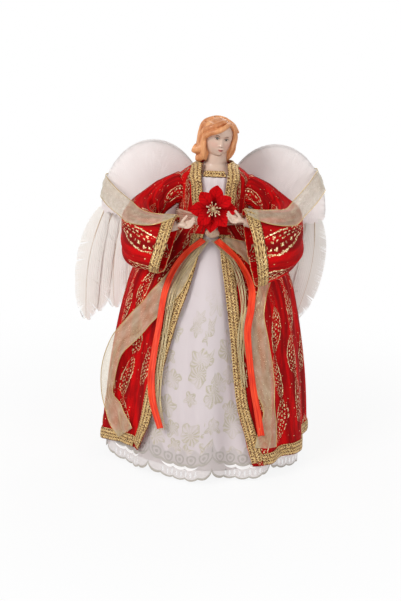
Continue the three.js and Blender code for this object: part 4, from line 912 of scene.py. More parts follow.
for name, side in SIDES:
    wrist = arm_point(side, 1.0)[0]
    high_arm = arm_point(side, [0.04, 0.2, 0.4, 0.6, 0.78, 0.9])
    route = [np.array([side * 34.6, 0, ARMHOLE]), *high_arm, wrist - 4.4 * hand_direction(side), wrist]
    line = spline(route, np.linspace(0, 1, 60))
    thick = lambda u: curve_at([0, 0.5, 0.8, 1], [8.8, 8.8, 5.7, 4.3], u) * (1 + 0.03 * math.sin(40 * u))
    tube = tube_grid(line, thick, 28)
    arm = make_piece(f"{name}_arm_wadding", [tube], arm_cotton, [f"{name}_arm"])

# %% [markdown]
# ## The white skirts
# Under the robe is a satin skirt on the cone, and over it a sheer one, embroidered in pale beige
# and fading out towards the waist, with a border of lace tongues. The tongues have a corded edge,
# slits made thinner by alpha, a crescent painted near-white as painted light, where the real lace
# is open to the bright floor, and swirls, all told from the place in the tongue and the height above
# its edge. The embroidery is scattered sprigs: a Voronoi cell gives each its middle, and the
# direction from that middle gives its ribs and lobes.

# %% Satin finish
def make_satin(name):
    finish = Finish(name)
    across, along = finish.cloth()
    weave = finish.noise(finish.vector(across * 0.35, along * 2.2), 1.0, 2.0)
    soft = finish.noise(finish.place(), 18.0, 2.0)
    tone = finish.blend(soft, dye(0.86, 0.81, 0.82), dye(0.91, 0.865, 0.86))
    return finish.done(
        Base_Color=tone,
        Roughness=0.36 + weave * 0.12,
        Normal=finish.bump(weave, 0.06),
        Sheen_Weight=0.2,
        Anisotropic=0.35,
    )


satin = make_satin("white_satin")
print("satin nodes", len(satin.node_tree.nodes))

# %% Lace and embroidery
TONGUES, TONGUE_TURN = 10, 23 * DEGREE
TONGUE_WIDE = TAU / TONGUES * HEM_HALF
SPRIG, SWIRL, SLIT, HATCH = 23.0, 13.0, 5.2, 1.7


def make_lace():
    finish = Finish("lace_and_embroidery")
    across, above = finish.cloth()
    x = ((across - TONGUE_TURN * HEM_HALF) / TONGUE_WIDE + 0.5).fract() * TONGUE_WIDE - TONGUE_WIDE / 2
    low = above - x * x * 0.0015
    cord = 1.0 - low.step(1.2, 2.2)
    slit_x = ((x / SLIT).fract() - 0.5) / 0.23
    slit = 1.0 - slit_x.far((low - 6.3) / 3.3).step(0.8, 1.0)
    slit = slit * (1.0 - abs(x).step(18.5, 20.5))
    # The crescent is painted near-white and opaque: painted light, standing in for the bright floor seen
    # through the lace's opening.
    painted_light_crescent = 1.0 - (x / 22.0).far((low - 12.8) / 1.8).step(0.85, 1.0)
    swirl_x = ((x / SWIRL + 0.5).fract() - 0.5) * SWIRL
    swirl_far = swirl_x.far(low - 22.0)
    swirl = (swirl_far * (TAU / 3.6)).sin().step(0.05, 0.5) * (1.0 - swirl_far.step(5.4, 6.2))
    rib = 1.0 - abs(low - 15.6).step(0.7, 1.3)
    border = 1.0 - (low - 3.0 * (x * (TAU / SWIRL)).sin()).step(27.0, 31.0)
    thread = cord.high(swirl * 0.8).high(rib)

    place = finish.vector(across / SPRIG, above / SPRIG)
    values = {"Vector": place, "Scale": 1.0, "Randomness": 0.75}
    spot = finish.node("ShaderNodeTexVoronoi", {"voronoi_dimensions": "2D"}, values, "Position")
    spot_x, spot_y, _ = finish.split(spot)
    dx, dy = across / SPRIG - spot_x, above / SPRIG - spot_y
    reach = dx.far(dy) * SPRIG
    turn = dy.math("ARCTAN2", dy, dx)
    kind = (spot_x * 2.7 + spot_y * 1.9).sin() * 3.0
    lobes = (turn * 5.0 + kind).sin()
    size = lobes * 1.8 + kind * 0.9 + 9.5
    within = 1.0 - (reach - size).step(-1.6, 0.4)
    ribs = (turn * 13.0 + reach * 0.35).sin().step(-0.25, 0.35) * reach.step(2.0, 4.0)
    outline = 1.0 - abs(reach - size + 0.8).step(0.35, 1.0)
    heart = 1.0 - reach.step(1.8, 3.4)
    sprig = within * (ribs * 0.7 + 0.22)
    patchy = finish.noise(finish.vector(across, above), 0.07, 2.0).step(0.36, 0.55)
    fades = 1.0 - above.step(135.0, 200.0)
    sewn = sprig.high(outline * 0.85).high(heart * 0.6)
    sewn = sewn * fades * (1.0 - border) * (patchy * 0.6 + 0.4)

    hatch = ((across + above) * (TAU / HATCH)).sin() * 0.5 + 0.5
    thread_tone = finish.blend(hatch * 0.6, dye(0.68, 0.64, 0.53), dye(0.82, 0.785, 0.69))
    ground = dye(0.885, 0.84, 0.845)
    colour = finish.blend(sewn * 0.9, ground, thread_tone)
    colour = finish.blend(border * 0.35, colour, dye(0.80, 0.77, 0.73))
    colour = finish.blend(thread * border * 0.85, colour, dye(0.69, 0.665, 0.62))
    colour = finish.blend(painted_light_crescent, colour, dye(0.98, 0.97, 0.965))
    sheer = (0.84 + sewn * 0.16).high(thread * border).high(painted_light_crescent)
    whole = (sheer - border * 0.1).high(thread * border).high(painted_light_crescent)
    return finish.done(
        Base_Color=colour,
        Alpha=whole * (1.0 - slit * 0.6 * (1.0 - cord)),
        Roughness=0.55 + sewn * 0.25,
        Normal=finish.bump(sewn * 0.8 + thread * border + hatch * 0.1, 0.4),
        Sheen_Weight=0.1,
    )


lace = make_lace()
print("lace nodes", len(lace.node_tree.nodes))

# %% Make the two skirts
SKIRT_TOP, TONGUE_HIGH = 245.6, 60.0


def tongue_edge(angle):
    wave = np.abs(np.cos((angle - TONGUE_TURN) * TONGUES / 2))
    place = ((angle - TONGUE_TURN) * TONGUES / TAU + 0.5) % 1
    loops = np.abs(np.sin(place * math.pi * 5)) ** 0.7
    return 1.2 + 11 * (1 - np.sqrt(wave)) + 2.2 * (1 - loops)


def skirt_folds(angle, z):
    rise = np.clip(skirt_share(z), 0, 1)
    soft = 0.5 + 0.5 * np.sin(14 * angle + 0.8 * np.sin(3 * angle) + 0.009 * z)
    crease = 0.5 + 0.5 * np.sin(31 * angle + 2.2 * np.sin(4 * angle + 0.02 * z) + 0.03 * z)
    return (1.1 * soft + 0.7 * crease**2) * (1 - rise**2)


around = once_round(1081)
heights = np.concatenate([np.linspace(0, 1, 40)[:-1] * 26, np.linspace(26, 245, 60)])[:, None]
edge = tongue_edge(around)
low_part = np.clip(1 - heights / TONGUE_HIGH, 0, 1)
z = np.minimum(edge * low_part + heights, SKIRT_TOP)
points = robe_point(around, z, -3.6 + skirt_folds(around, z), False)
cut = grid(points, on_cloth(around * HEM_HALF, z - edge), closed=True)
overlay = make_piece("lace_overlay_cloth", [cut], lace, ["lace_overlay"])
declare_sheet(overlay, 0.69, 0.28)

around = once_round(541)
z = np.linspace(12.0, SKIRT_TOP, 110)[:, None]
rise = np.clip(skirt_share(z), 0, 1)
inset = -4.3 - mix(1.2, 0.35, rise**4) - 5.5 * (1 - rise * rise) + 0.5 * skirt_folds(around, z)
x = (half_width(z) + inset) * np.sin(around)
y = -(half_depth(z) + inset) * np.cos(around)
points = np.stack(np.broadcast_arrays(x, y, z), -1)
cut = grid(points, on_cloth(around * HEM_HALF, z), closed=True)
skirt = make_piece("white_skirt_cloth", [cut], satin, ["white_skirt"], thickness=0.6)
declare_sheet(skirt, 0.66, 0.27)

# %% [markdown]
# The bodice is a tube of the same satin over a wadded torso, and a narrow braid closes its neck.

# %% Bodice, torso and neck braid
BODICE_LOW, BODICE_HIGH = 252, 302.8
NECK_Z, NECK_BRAID, NECK_TURN = 303.7, 5.5, 21 * DEGREE
around = once_round(241)
z = np.linspace(BODICE_LOW, BODICE_HIGH, 40)[:, None]
pleat = 0.35 * np.sin(30 * around + 0.04 * z)
points = robe_point(around, z, -2.9 + pleat, False)
cut = grid(points, on_cloth(around * 36.0, z), closed=True, drop=in_armhole)
bodice_satin = make_satin("bodice_satin")
bodice = make_piece("bodice_cloth", [cut], bodice_satin, ["bodice"], thickness=0.5)

t = np.linspace(-NECK_TURN, NECK_TURN, 160)[:, None]
s = np.linspace(0, 1, 9)[None, :]
points = robe_point(t, NECK_Z + NECK_BRAID * (s - 0.5), -2.0 + 0.6 * crowned(s), False)
neck_braid = braid_piece("neck_braid", grid(points, on_cloth(t * 30.0, NECK_BRAID * s)), "neck_trim")
declare_sheet(bodice, 0.24, 0.055)

rows = []
for z in np.linspace(228.4, 292.2, 30):
    below = max(0.0, BODICE_LOW - z) / 24
    ring = robe_point(np.linspace(0, TAU, 81), max(z, WAIST), -4.7, False) * (1 - 0.32 * below)
    ring[:, 2] = z
    rows.append(ring)
rows = np.array([rows[0] * (0.62, 0.62, 1), *rows, rows[-1] * (0.02, 0.02, 1)])
across, along = np.linspace(0, 200, 81)[None, :], np.linspace(0, 70, len(rows))[:, None]
cut = grid(rows, on_cloth(across, along), closed=True)
torso = make_piece("torso_wadding", [cut], cotton, ["torso_form"])

# %% [markdown]
# ## Sheer ribbons
# The sash and the wide ribbons are champagne organza with a fine wire in each edge. Organza is
# mostly holes, so it is half see-through, a little denser along its edges, with some glints of
# metal thread.

# %% Organza finish
RIBBON_WIDE = 25.0


def make_organza(name, colour, cover):
    finish = Finish(name)
    along, across = finish.cloth()
    place = finish.vector(along, across)
    threads = ((along * 5.2).sin() * (across * 5.2).sin()) * 0.5 + 0.5
    cloud = finish.noise(finish.vector(along * 0.5, across), 0.16, 2.0)
    glint = finish.cells(place, 0.5).step(0.16, 0.08)
    tone = finish.blend(cloud.step(0.3, 0.75) * 0.6 + threads * 0.2, colour, dye(0.93, 0.88, 0.78))
    selvage = abs(across - RIBBON_WIDE / 2).step(9.0, 12.5)
    return finish.done(
        Base_Color=finish.blend(glint, tone, dye(1.0, 0.95, 0.80)),
        Alpha=(cloud * 0.14 + threads * 0.12 + selvage * 0.12 + (cover - 0.13)).high(glint),
        Roughness=0.5 - glint * 0.2,
        Metallic=glint * 0.4,
        Normal=finish.bump(threads, 0.12),
        Specular_IOR_Level=0.25,
    )


organza = make_organza("champagne_organza", dye(0.80, 0.70, 0.54), 0.48)
edge_colours = dye(0.62, 0.50, 0.30), dye(0.88, 0.77, 0.52)
edge_wire = grained("gold_edge_wire", 900.0, *edge_colours, Metallic=0.8, Roughness=0.35)
EDGE_WIRE_HALF = 0.4


def wired_edges(name, points):
    """A thin tube along each long edge of a ribbon, whose rows run along it."""
    tubes = [tube_grid(points[:, edge], EDGE_WIRE_HALF, 6) for edge in (0, -1)]
    return make_piece(name, tubes, edge_wire)


print("ribbon edges carry a wire", 2 * EDGE_WIRE_HALF, "mm thick")

# %% The gathered sash and the knot
SASH_Z, SASH_HIGH, KNOT_Z = 259, 11.5, 247.0
around = once_round(721)
t = np.linspace(0, 1, 61)[:, None]
z = SASH_Z + SASH_HIGH * (t - 0.5) + 0.5 * np.sin(5 * around)
gather = np.abs(np.sin(math.pi * 5 * t + 0.8 * np.sin(6 * around) + 0.35 * np.sin(17 * around)))
points = robe_point(around, z, 2.3 + 1.5 * gather, False)
cut = grid(points, on_cloth(around * 38.0, 30.0 * t), closed=True)
sash_sheer = make_organza("sash_organza", dye(0.82, 0.62, 0.52), 0.6)
sash = make_piece("waist_sash_cloth", [cut], sash_sheer, ["waist_sash"])

knot_sheer = make_organza("knot_organza", dye(0.90, 0.72, 0.60), 0.9)
robe_front = float(half_depth(np.array(KNOT_Z))) + float(main_folds(0, np.array(KNOT_Z)))
front = -(robe_front + 2.2 + 1.5 + 0.35 + 2.6)
turns = once_round(97)
rise = np.linspace(0.001, math.pi - 0.001, 49)[:, None]
pleat = 1.04 - 0.17 * np.abs(np.sin(7 * turns + 1.2 * np.cos(rise))) * np.sin(rise)
x = 7.2 * np.sin(rise) * np.sin(turns) * pleat
y = front - 2.9 * np.sin(rise) * np.cos(turns) * pleat
z = KNOT_Z - 4.8 * np.cos(rise)
points = np.stack(np.broadcast_arrays(x, y, z), -1)
cut = grid(points, on_cloth(turns * 7.0, rise * 5.0), closed=True)
knot = make_piece("bow_knot_cloth", [cut], knot_sheer, ["bow_knot"])
declare_sheet(sash, 0.28, 0.024)

# %% [markdown]
# Each wide tail is one strip that leaves the knot narrow and hangs over the robe. The angel's left
# one is twisted at two places and the right one at one: there it is narrower, and one edge lifts.

# %% The wide tails
TAILS = {
    "right": (
        [-13, -20, -27, -37, -46, -54, -60, -63, -62.5, -57, -48.5],
        [0.955, 0.86, 0.76, 0.68, 0.605, 0.53, 0.45, 0.33, 0.24, 0.175, 0.1],
    ),
    "left": (
        [13, 27, 38, 43, 41, 34, 28, 29, 31.5, 34, 35, 33.5],
        [0.955, 0.93, 0.9, 0.86, 0.81, 0.73, 0.65, 0.54, 0.44, 0.33, 0.22, 0.1],
    ),
}


def route_of(table):
    return [(a, mix(HEM, WAIST, share)) for a, share in zip(*table)]


def centre_length(points):
    centre = points[:, points.shape[1] // 2]
    return centre, float(np.sum(np.linalg.norm(np.diff(centre, axis=0), axis=1)))


for name, _ in SIDES:
    puff = 0.08 if name == "left" else 1.0
    twists = [(0.45, 0.66, 11), (0.87, 0.5, 16)] if name == "left" else [(0.80, 0.25, 12)]
    turned = lambda t: sum(deep * np.exp(-(((t - at) * sharp) ** 2)) for at, deep, sharp in twists)
    wide = lambda t: RIBBON_WIDE * mix(0.35, 1, smooth(t * 5)) * (1 - turned(t))
    lift = lambda s, t: (
        2.9
        + puff * 7 * np.sin(math.pi * np.clip((t - 0.35) / 0.55, 0, 1)) ** 2
        + 0.7 * (1 + np.sin(3 * math.pi * s + 9 * t))
        + 0.9 * (2 * s - 1) ** 2 * smooth(t * 3)
        + 3.0 * s * turned(t)
    )
    cut, points = strip_on_robe(route_of(TAILS[name]), wide, lift, 25, 260)
    tail = make_piece(f"{name}_ribbon_tail_cloth", [cut], organza, [f"{name}_ribbon_tail"])
    _, length = centre_length(points)
    print(name, "tail", round(length), "mm long")
    wires = wired_edges(f"{name}_tail_wires", points)
    declare_sheet(tail, 0.025, round(length) * MM)

# %% [markdown]
# ## Narrow ribbons
# An orange-red satin ribbon and a bundle of fine gold strands hang on each side. They are flat
# cords that start at the knot and end bare.

# %% Satin and strands
red_satin = Finish("red_satin")
along, across = red_satin.cloth()
rib = (along * 7.0).sin() * 0.5 + 0.5
streak = red_satin.noise(red_satin.vector(along * 0.05, across * 0.8), 1.0, 2.0)
red_satin = red_satin.done(
    Base_Color=red_satin.blend(streak.step(0.25, 0.75), dye(0.84, 0.13, 0.04), dye(1.0, 0.31, 0.14)),
    Roughness=0.38 + rib * 0.08,
    Normal=red_satin.bump(rib, 0.12),
    Specular_IOR_Level=0.3,
)
strand_gold = Finish("strand_gold")
along, across = strand_gold.cloth()
twist = (along * 4.5 + across * 3.0).sin() * 0.5 + 0.5
fleck = strand_gold.cells(strand_gold.vector(along, across), 1.3).step(0.3, 0.12)
strand_gold = strand_gold.done(
    Base_Color=strand_gold.blend(twist * 0.6 + fleck * 0.4, dye(0.66, 0.57, 0.40), dye(0.90, 0.84, 0.68)),
    Metallic=0.35 + fleck * 0.3,
    Roughness=0.4,
    Normal=strand_gold.bump(twist, 0.2),
)
print("narrow ribbons' finishes:", red_satin.name, strand_gold.name)

# %% Routes of the narrow ribbons
SATINS = {
    "right": (
        [-9, -20, -26.5, -29.3, -29.6, -30.2, -30, -28, -23],
        [0.955, 0.91, 0.85, 0.75, 0.6, 0.46, 0.38, 0.29, 0.18],
    ),
    "left": (
        [5, 15, 23.5, 28, 26.5, 23.8, 24.2, 25.8, 28, 30],
        [0.955, 0.92, 0.87, 0.78, 0.69, 0.6, 0.5, 0.38, 0.27, 0.16],
    ),
}
STRANDS = {
    "right": (
        [-5, -12, -19.5, -24, -25.5, -26, -26.5, -25.5, -22.5],
        [0.955, 0.91, 0.84, 0.76, 0.64, 0.52, 0.4, 0.3, 0.17],
    ),
    "left": ([2, 9, 16.5, 21, 22.5, 20, 20.5, 22], [0.955, 0.93, 0.89, 0.82, 0.7, 0.56, 0.46, 0.36]),
}
SATIN_WIDE, STRANDS_WIDE = 6.4, 6.0
LAST_ROWS = (228, 240, 234, 240, 236, 240)
print("narrow ribbons", SATIN_WIDE, "and", STRANDS_WIDE, "mm wide")

# %% Make the narrow ribbons
def declare_ribbon(piece, points):
    centre, length = centre_length(points)
    line = [tuple(float(v) * MM for v in p) for p in centre[:: max(1, len(centre) // 60)]]
    line[-1] = tuple(float(v) * MM for v in centre[-1])
    length * MM
    print(piece.name, round(length), "mm long")


for name, _ in SIDES:
    cupped = lambda s, t: 5.7 + 0.9 * (2 * s - 1) ** 2 + 0.6 * np.sin(11 * t + 2 * s)
    cut, points = strip_on_robe(route_of(SATINS[name]), SATIN_WIDE, cupped, 9, 220)
    node = f"{name}_satin_ribbon"
    ribbon = make_piece(node + "_band", [cut], red_satin, [node], thickness=0.4)
    declare_ribbon(ribbon, points)

    _, points = strip_on_robe(route_of(STRANDS[name]), STRANDS_WIDE, 4.3, 25, 240)
    pieces = []
    for k, last in enumerate(LAST_ROWS):
        at = 2 + 4 * k
        part = points[:last, at - 2 : at + 2].copy()
        sway = 0.5 * np.sin(np.linspace(0, 22, last) + 2.1 * k)[:, None, None]
        over = points[:last, -1:] - points[:last, :1]
        part += sway * over / np.linalg.norm(over, axis=2, keepdims=True)
        pieces.append(grid(part, on_cloth(np.linspace(0, 200, last)[:, None], np.linspace(0, 1, 4)[None, :])))
    node = f"{name}_strands"
    ribbon = make_piece(f"{name}_strand_bundle", pieces, strand_gold, [node], thickness=0.5)
    declare_ribbon(ribbon, points)

# %% [markdown]
# ## The ribbon round the wings
# One more sheer ribbon starts at a wrist, lies on the sleeve, passes behind both wings and comes
# back to the other wrist. It is drawn row by row, and then made finer by smooth lines.

# %% Wing places
WING_X, WING_Z, WING_WIDE, WING_HIGH = 66.0, 255.0, 57.0, 73.0


def wing_point(side, x, depth, z):
    x, depth, z = np.broadcast_arrays(np.asarray(x, float), depth, z)
    return np.stack([side * x, 30 + depth + 0.1 * x, z], -1)


def wing_outline(angle, share=1.0):
    flat = np.where(np.sin(angle) < 0, 0.13, 1.0)
    return WING_X + WING_WIDE * share * np.cos(angle), WING_Z + WING_HIGH * share * np.sin(angle) * flat


# %% The wing ribbon
SLEEVE_STOPS = [0.66, 0.75, 0.84, 0.92, 0.99]
TOP_DEGREES = [10, 8, 5, 1, -4]
LOW_DEGREES = [66, 62, 55, 44, 30]
WRAP_DEGREES = {1: (40, 20), -1: (26, 7)}
columns = np.linspace(0, 1, 7)


def rim_row(side, clear, depth):
    x, z = wing_outline(mix(*WRAP_DEGREES[side], columns) * DEGREE)
    return wing_point(side, x + clear, depth, z)


def half_run(side):
    rim = rim_row(side, 1.12, 3.4)
    on_sleeve = []
    for k, stop in enumerate(SLEEVE_STOPS):
        angle = mix(TOP_DEGREES[k], LOW_DEGREES[k], columns) * DEGREE
        lift = 3.0 - 0.3 * float(smooth(k / 3))
        on_sleeve.append(sleeve_point(side, angle, np.full(7, stop), lift))
    span = []
    for j in range(1, 4):
        slack = -4 * math.sin(math.pi * j / 4) * (1 - j / 4)
        dip = np.array([side * 1.2 * j / 4, -2.2 * j / 4, slack + 1.6 * j / 4])
        span.append(mix(rim, on_sleeve[0], j / 4) + dip)
    return [*on_sleeve[::-1], *span[::-1], rim, rim_row(side, 2.56, 14.25), rim_row(side, 1.12, 25.1)]


left, right = half_run(1), half_run(-1)[::-1]
across = []
for share in (0.2, 0.5, 0.8):
    across.append(mix(left[-1], right[0], share) + (0, 1.6 * math.sin(math.pi * share), 0))
rough = np.array([*left, *across, *right])
fine_rows = np.linspace(0, 1, 420)
lines = np.stack([spline(rough[:, i], fine_rows) for i in range(7)], 1)
points = np.stack([spline(row, np.linspace(0, 1, 21)) for row in lines], 0)
normal = np.cross(np.gradient(points, axis=0), np.gradient(points, axis=1))
normal /= np.linalg.norm(normal, axis=2, keepdims=True) + 1e-9
s, t = np.meshgrid(np.linspace(0, 1, 21), fine_rows)
points += normal * (0.5 * np.sin(4 * math.pi * s + 30 * t) * np.sin(math.pi * s))[..., None]
_, length = centre_length(points)
cut = grid(points, on_cloth(t * length, s * RIBBON_WIDE))
wing_sheer = make_organza("wing_ribbon_organza", dye(0.80, 0.73, 0.62), 0.5)
wing_ribbon = make_piece("wing_ribbon_cloth", [cut], wing_sheer, ["wing_ribbon"])
wires = wired_edges("wing_ribbon_wires", points)
declare_sheet(wing_ribbon, 0.025, round(length) * MM)

# %% [markdown]
# ## The wings
# A wing is two padded coverts, front and back, and four long quills held between them on a card.
# A quill is a shaft with many barbs: each barb is its own narrow strip that leans to the tip, so
# the vane shows fine lines, splits and a ragged edge. Down on the coverts is short strips too,
# which lie along the dome of the pad.

# %% Feather finish
def make_feather_finish(name, base, tip):
    finish = Finish(name)
    across, along = finish.cloth()
    vein = (along * 5.0 + abs(across) * 3.0).sin() * 0.5 + 0.5
    cloud = finish.noise(finish.place(), 60.0, 2.0)
    return finish.done(
        Base_Color=finish.blend(cloud * 0.6 + vein * 0.3, base, tip),
        Roughness=0.55,
        Normal=finish.bump(vein, 0.12),
        Sheen_Weight=0.3,
        Sheen_Roughness=0.3,
    )


vane_finish = make_feather_finish("feather_vane", dye(0.955, 0.948, 0.91), dye(1.0, 0.99, 0.975))
down_finish = make_feather_finish("feather_down", dye(0.94, 0.905, 0.895), dye(0.995, 0.975, 0.965))
shaft_colours = dye(0.80, 0.72, 0.62), dye(0.93, 0.88, 0.81)
shaft_finish = grained("feather_shaft", 300.0, *shaft_colours, Roughness=0.35)
print("feather finishes:", vane_finish.name, down_finish.name, shaft_finish.name)

# %% Barbs and down are strips
def strips(paths, widths, lean):
    """Narrow strips along many paths at once. Paths is strips x points x 3, widths strips x points,
    and lean the direction across each strip."""
    count, steps = paths.shape[:2]
    half = 0.5 * widths[..., None] * lean
    points = np.stack([paths - half, paths + half], 2).reshape(-1, 3)
    base = (np.arange(count)[:, None] * steps + np.arange(steps - 1)[None, :]) * 2
    faces = np.stack([base, base + 1, base + 3, base + 2], -1).reshape(-1, 4)
    s = np.broadcast_to(np.linspace(0, 14, steps), (count, steps))
    uv = np.stack([np.stack([s, s], 2), np.broadcast_to([0.0, 0.5], (count, steps, 2))], -1).reshape(-1, 2)
    return points, faces, uv[faces]


print("one strip of 7 points has", len(strips(np.zeros((1, 7, 3)), np.ones((1, 7)), 0.0)[1]), "squares")

# %% The quills
ROOTS = {1: [0.76, 0.56, 0.34, 0.1], -1: [0.78, 0.6, 0.4, 0.18]}
LEANS = {1: [-5, -4, -3, -1], -1: [11, 11, 8, 6]}
LENGTHS = {1: [0.88, 0.93, 0.8, 0.62], -1: [0.97, 0.9, 0.86, 0.76]}
QUILL, QUILL_HALF, QUILL_TOP = 159.0, 14.5, 272
QUILL_NEAR, QUILL_STEP, HALF_THICK = 9.1, 1.85, 0.75
BARBS = 190
VANE = [0, 0.1, 0.18, 0.35, 0.6, 0.82, 0.94, 1]
VANE_WIDE = [0.09, 0.12, 0.5, 0.86, 1, 0.96, 0.76, 0.36]


def quill_point(side, k, q, t, lift):
    """A place on a quill: q from -1 to 1 across its vane, t from root to tip."""
    root = WING_X + WING_WIDE * ROOTS[side][k]
    lean = LEANS[side][k] * DEGREE
    long = QUILL * LENGTHS[side][k]
    half = QUILL_HALF * curve_at(VANE, VANE_WIDE, t)
    along = long * t - half * 0.35 * q * q
    across = long * 0.07 * np.sin(math.pi * t) + half * q
    x = root + math.sin(lean) * along + math.cos(lean) * across
    z = QUILL_TOP - math.cos(lean) * along + math.sin(lean) * across
    middle = QUILL_NEAR + QUILL_STEP * k + HALF_THICK
    return wing_point(side, x, middle + lift, z)


def make_quill(side, k, rng):
    vanes = []
    for way in (-1, 1):
        t = np.linspace(0.10, 0.985, BARBS)
        split = np.zeros(BARBS)
        for at in rng.uniform(0.35, 0.98, 3):
            split += np.where(t > at, 0.008, 0) * np.exp(-((t - at) / 0.03) ** 2)
        s = np.linspace(0, 1, 7)[None, :]
        ragged = rng.normal(0, 0.0012, (BARBS, 1)) * s
        reach = t[:, None] + 0.07 * s**1.4 + split[:, None] * s + ragged
        edge = 1 + rng.normal(0, 0.010, (BARBS, 1)) - 0.04 * (split[:, None] > 0.004)
        q = way * (0.02 + s * 0.98) * edge
        bend = 0.5 * np.abs(q) ** 1.5 + 0.25 * np.sin(9 * t[:, None] + k)
        paths = quill_point(side, k, q, np.minimum(reach, 1.0), bend - 0.3)
        wide = QUILL * LENGTHS[side][k] * 0.885 / BARBS * mix(1.45, 0.8, s) + 0 * q
        lean = LEANS[side][k] * DEGREE
        across_barb = np.array([side * math.sin(lean), 0.0, -math.cos(lean)])
        vanes.append(strips(paths, wide, across_barb))
    line = quill_point(side, k, np.zeros(40), np.linspace(0.0, 0.985, 40), 0.15)
    stem = tube_grid(line, lambda u: mix(0.95, 0.22, u), 8)
    return vanes, stem


rng = np.random.default_rng(7)
for name, side in SIDES:
    for k in range(4):
        vanes, stem = make_quill(side, k, rng)
        make_piece(f"{name}_quill_{k + 1}_vane", vanes, vane_finish, [f"{name}_feather_{k + 1}"])
        make_piece(f"{name}_quill_{k + 1}_shaft", [stem], shaft_finish)

# %% A covert's pad and down
DOWN_STRIPS = 1500
RIM = 0.93
COVERT_SHARES = [1, 0.995, 0.98, 0.95, 0.9, 0.82, 0.72, 0.6, 0.46, 0.3, 0.14, 0.002]


def dome(share):
    """How far a covert's middle stands out, in millimetres."""
    return 2 + 5 * np.sqrt(np.maximum(0, 1 - share**2))


def covert_point(side, angle, share, depth):
    x, z = wing_outline(angle, share)
    return wing_point(side, x, depth, z)


def covert_pad(side, flat_depth, outward):
    around = np.linspace(0, TAU, 181)
    rings = [covert_point(side, around, share, flat_depth) for share in (0.002, 1.0)]
    for share in COVERT_SHARES:
        ripple = 0.35 * np.sin(13 * around + 9 * share) * share
        depth = flat_depth + outward * (dome(share) + ripple * 0.15)
        rings.append(covert_point(side, around, share, depth))
    rings = np.array(rings)
    along = np.linspace(0, 90, len(rings))[:, None]
    return grid(rings, on_cloth(around[None, :] * 60, along), closed=True)


def covert_down(side, flat_depth, outward):
    angle = rng.uniform(0, TAU, DOWN_STRIPS)
    share = np.sqrt(rng.uniform(0.02, 0.9, DOWN_STRIPS))
    share[: DOWN_STRIPS // 3] = rng.uniform(0.95, 1.0, DOWN_STRIPS // 3)
    start = covert_point(side, angle, share, flat_depth + outward * dome(share))
    away = covert_point(side, angle, share + 0.07, 0) - covert_point(side, angle, share, 0)
    away += (0, 0, -1.2)
    away[:, 0] += rng.normal(0, 0.35, DOWN_STRIPS)
    away[:, 2] += rng.normal(0, 0.35, DOWN_STRIPS)
    away /= np.linalg.norm(away, axis=1, keepdims=True)
    long = rng.uniform(8.0, 14.0, DOWN_STRIPS) * np.where(share > RIM, 0.16, 1.0)
    long = long * np.clip(4 * (1.02 - share), 0.2, 1)
    u = np.linspace(0, 1, 5)[None, :, None]
    gone = long[:, None, None] * u
    start_share = share[:, None, None]
    outer = np.where(np.sin(angle) > -0.1, 1 / 65, 0)[:, None, None]
    reached = np.clip(start_share + gone * outer, 0, 0.998)
    sunk = np.maximum(0.06 * gone**2 / 14, 0.97 * (dome(start_share) - dome(reached)))
    lift = np.array([0, outward, 0]) * (0.06 + 0.12 * u * (1 - 0.6 * u) - sunk)
    paths = start[:, None] + away[:, None] * gone + lift
    lean = np.cross(away, [0.0, 1.0, 0.0])[:, None]
    wide = np.where(share > RIM, 0.7, 2.6)[:, None] * np.sin(math.pi * (0.12 + 0.8 * u[..., 0]))
    return strips(paths, wide, lean)


print("a covert stands out", dome(0.0), "mm in its middle")

# %% Make the coverts
for name, side in SIDES:
    for node, flat_depth, outward in ((f"{name}_wing_coverts", 7.0, -1), (f"{name}_wing_back", 16.5, 1)):
        pad = covert_pad(side, flat_depth, outward)
        fluff = covert_down(side, flat_depth, outward)
        covert = make_piece(node + "_pad", [pad], down_finish, [node])
        make_piece(node + "_down", [fluff], down_finish)

# %% [markdown]
# ## The porcelain bust
# Head, neck and shoulders are one casting. The head is shaped in its own space, where x runs
# across the face, -y comes forward and z goes up, and is then turned and bowed onto the neck.
# Eyes, brows, cheeks and lips are painted on: each is a soft oval at its place on that face. A white dot in
# each eye is a painted highlight.

# %% The head's own space
turned = Matrix.Rotation(17 * DEGREE, 3, "Z") @ Matrix.Rotation(11 * DEGREE, 3, "X")
HEAD_TURN = np.array(Matrix.Rotation(4 * DEGREE, 3, "Y") @ turned)
HEAD_CENTRE = np.array([1.5, -5.0, 339.4])
SKULL_WIDE, SKULL_FRONT, SKULL_BACK, SKULL_HIGH = 15.4, 16.4, 16.5, 20.0
SKULL = [-1, -0.88, -0.72, -0.5, -0.2, 0.15, 0.5, 0.8, 1]
SKULL_X = [0.14, 0.42, 0.62, 0.81, 0.94, 1, 0.93, 0.64, 0.06]
SKULL_NEAR = [0.1, 0.5, 0.8, 0.9, 0.92, 0.97, 0.95, 0.66, 0.06]
SKULL_FAR = [0.02, 0.12, 0.3, 0.6, 0.86, 1, 0.95, 0.66, 0.06]


def from_head(points):
    return points @ HEAD_TURN.T + HEAD_CENTRE


def hill(x, z, across, height, wide, high):
    """A soft round hill at a place on the face, in shares of the skull's half width and height."""
    return np.exp(-(((x / SKULL_WIDE - across) / wide) ** 2) - ((z / SKULL_HIGH - height) / high) ** 2)


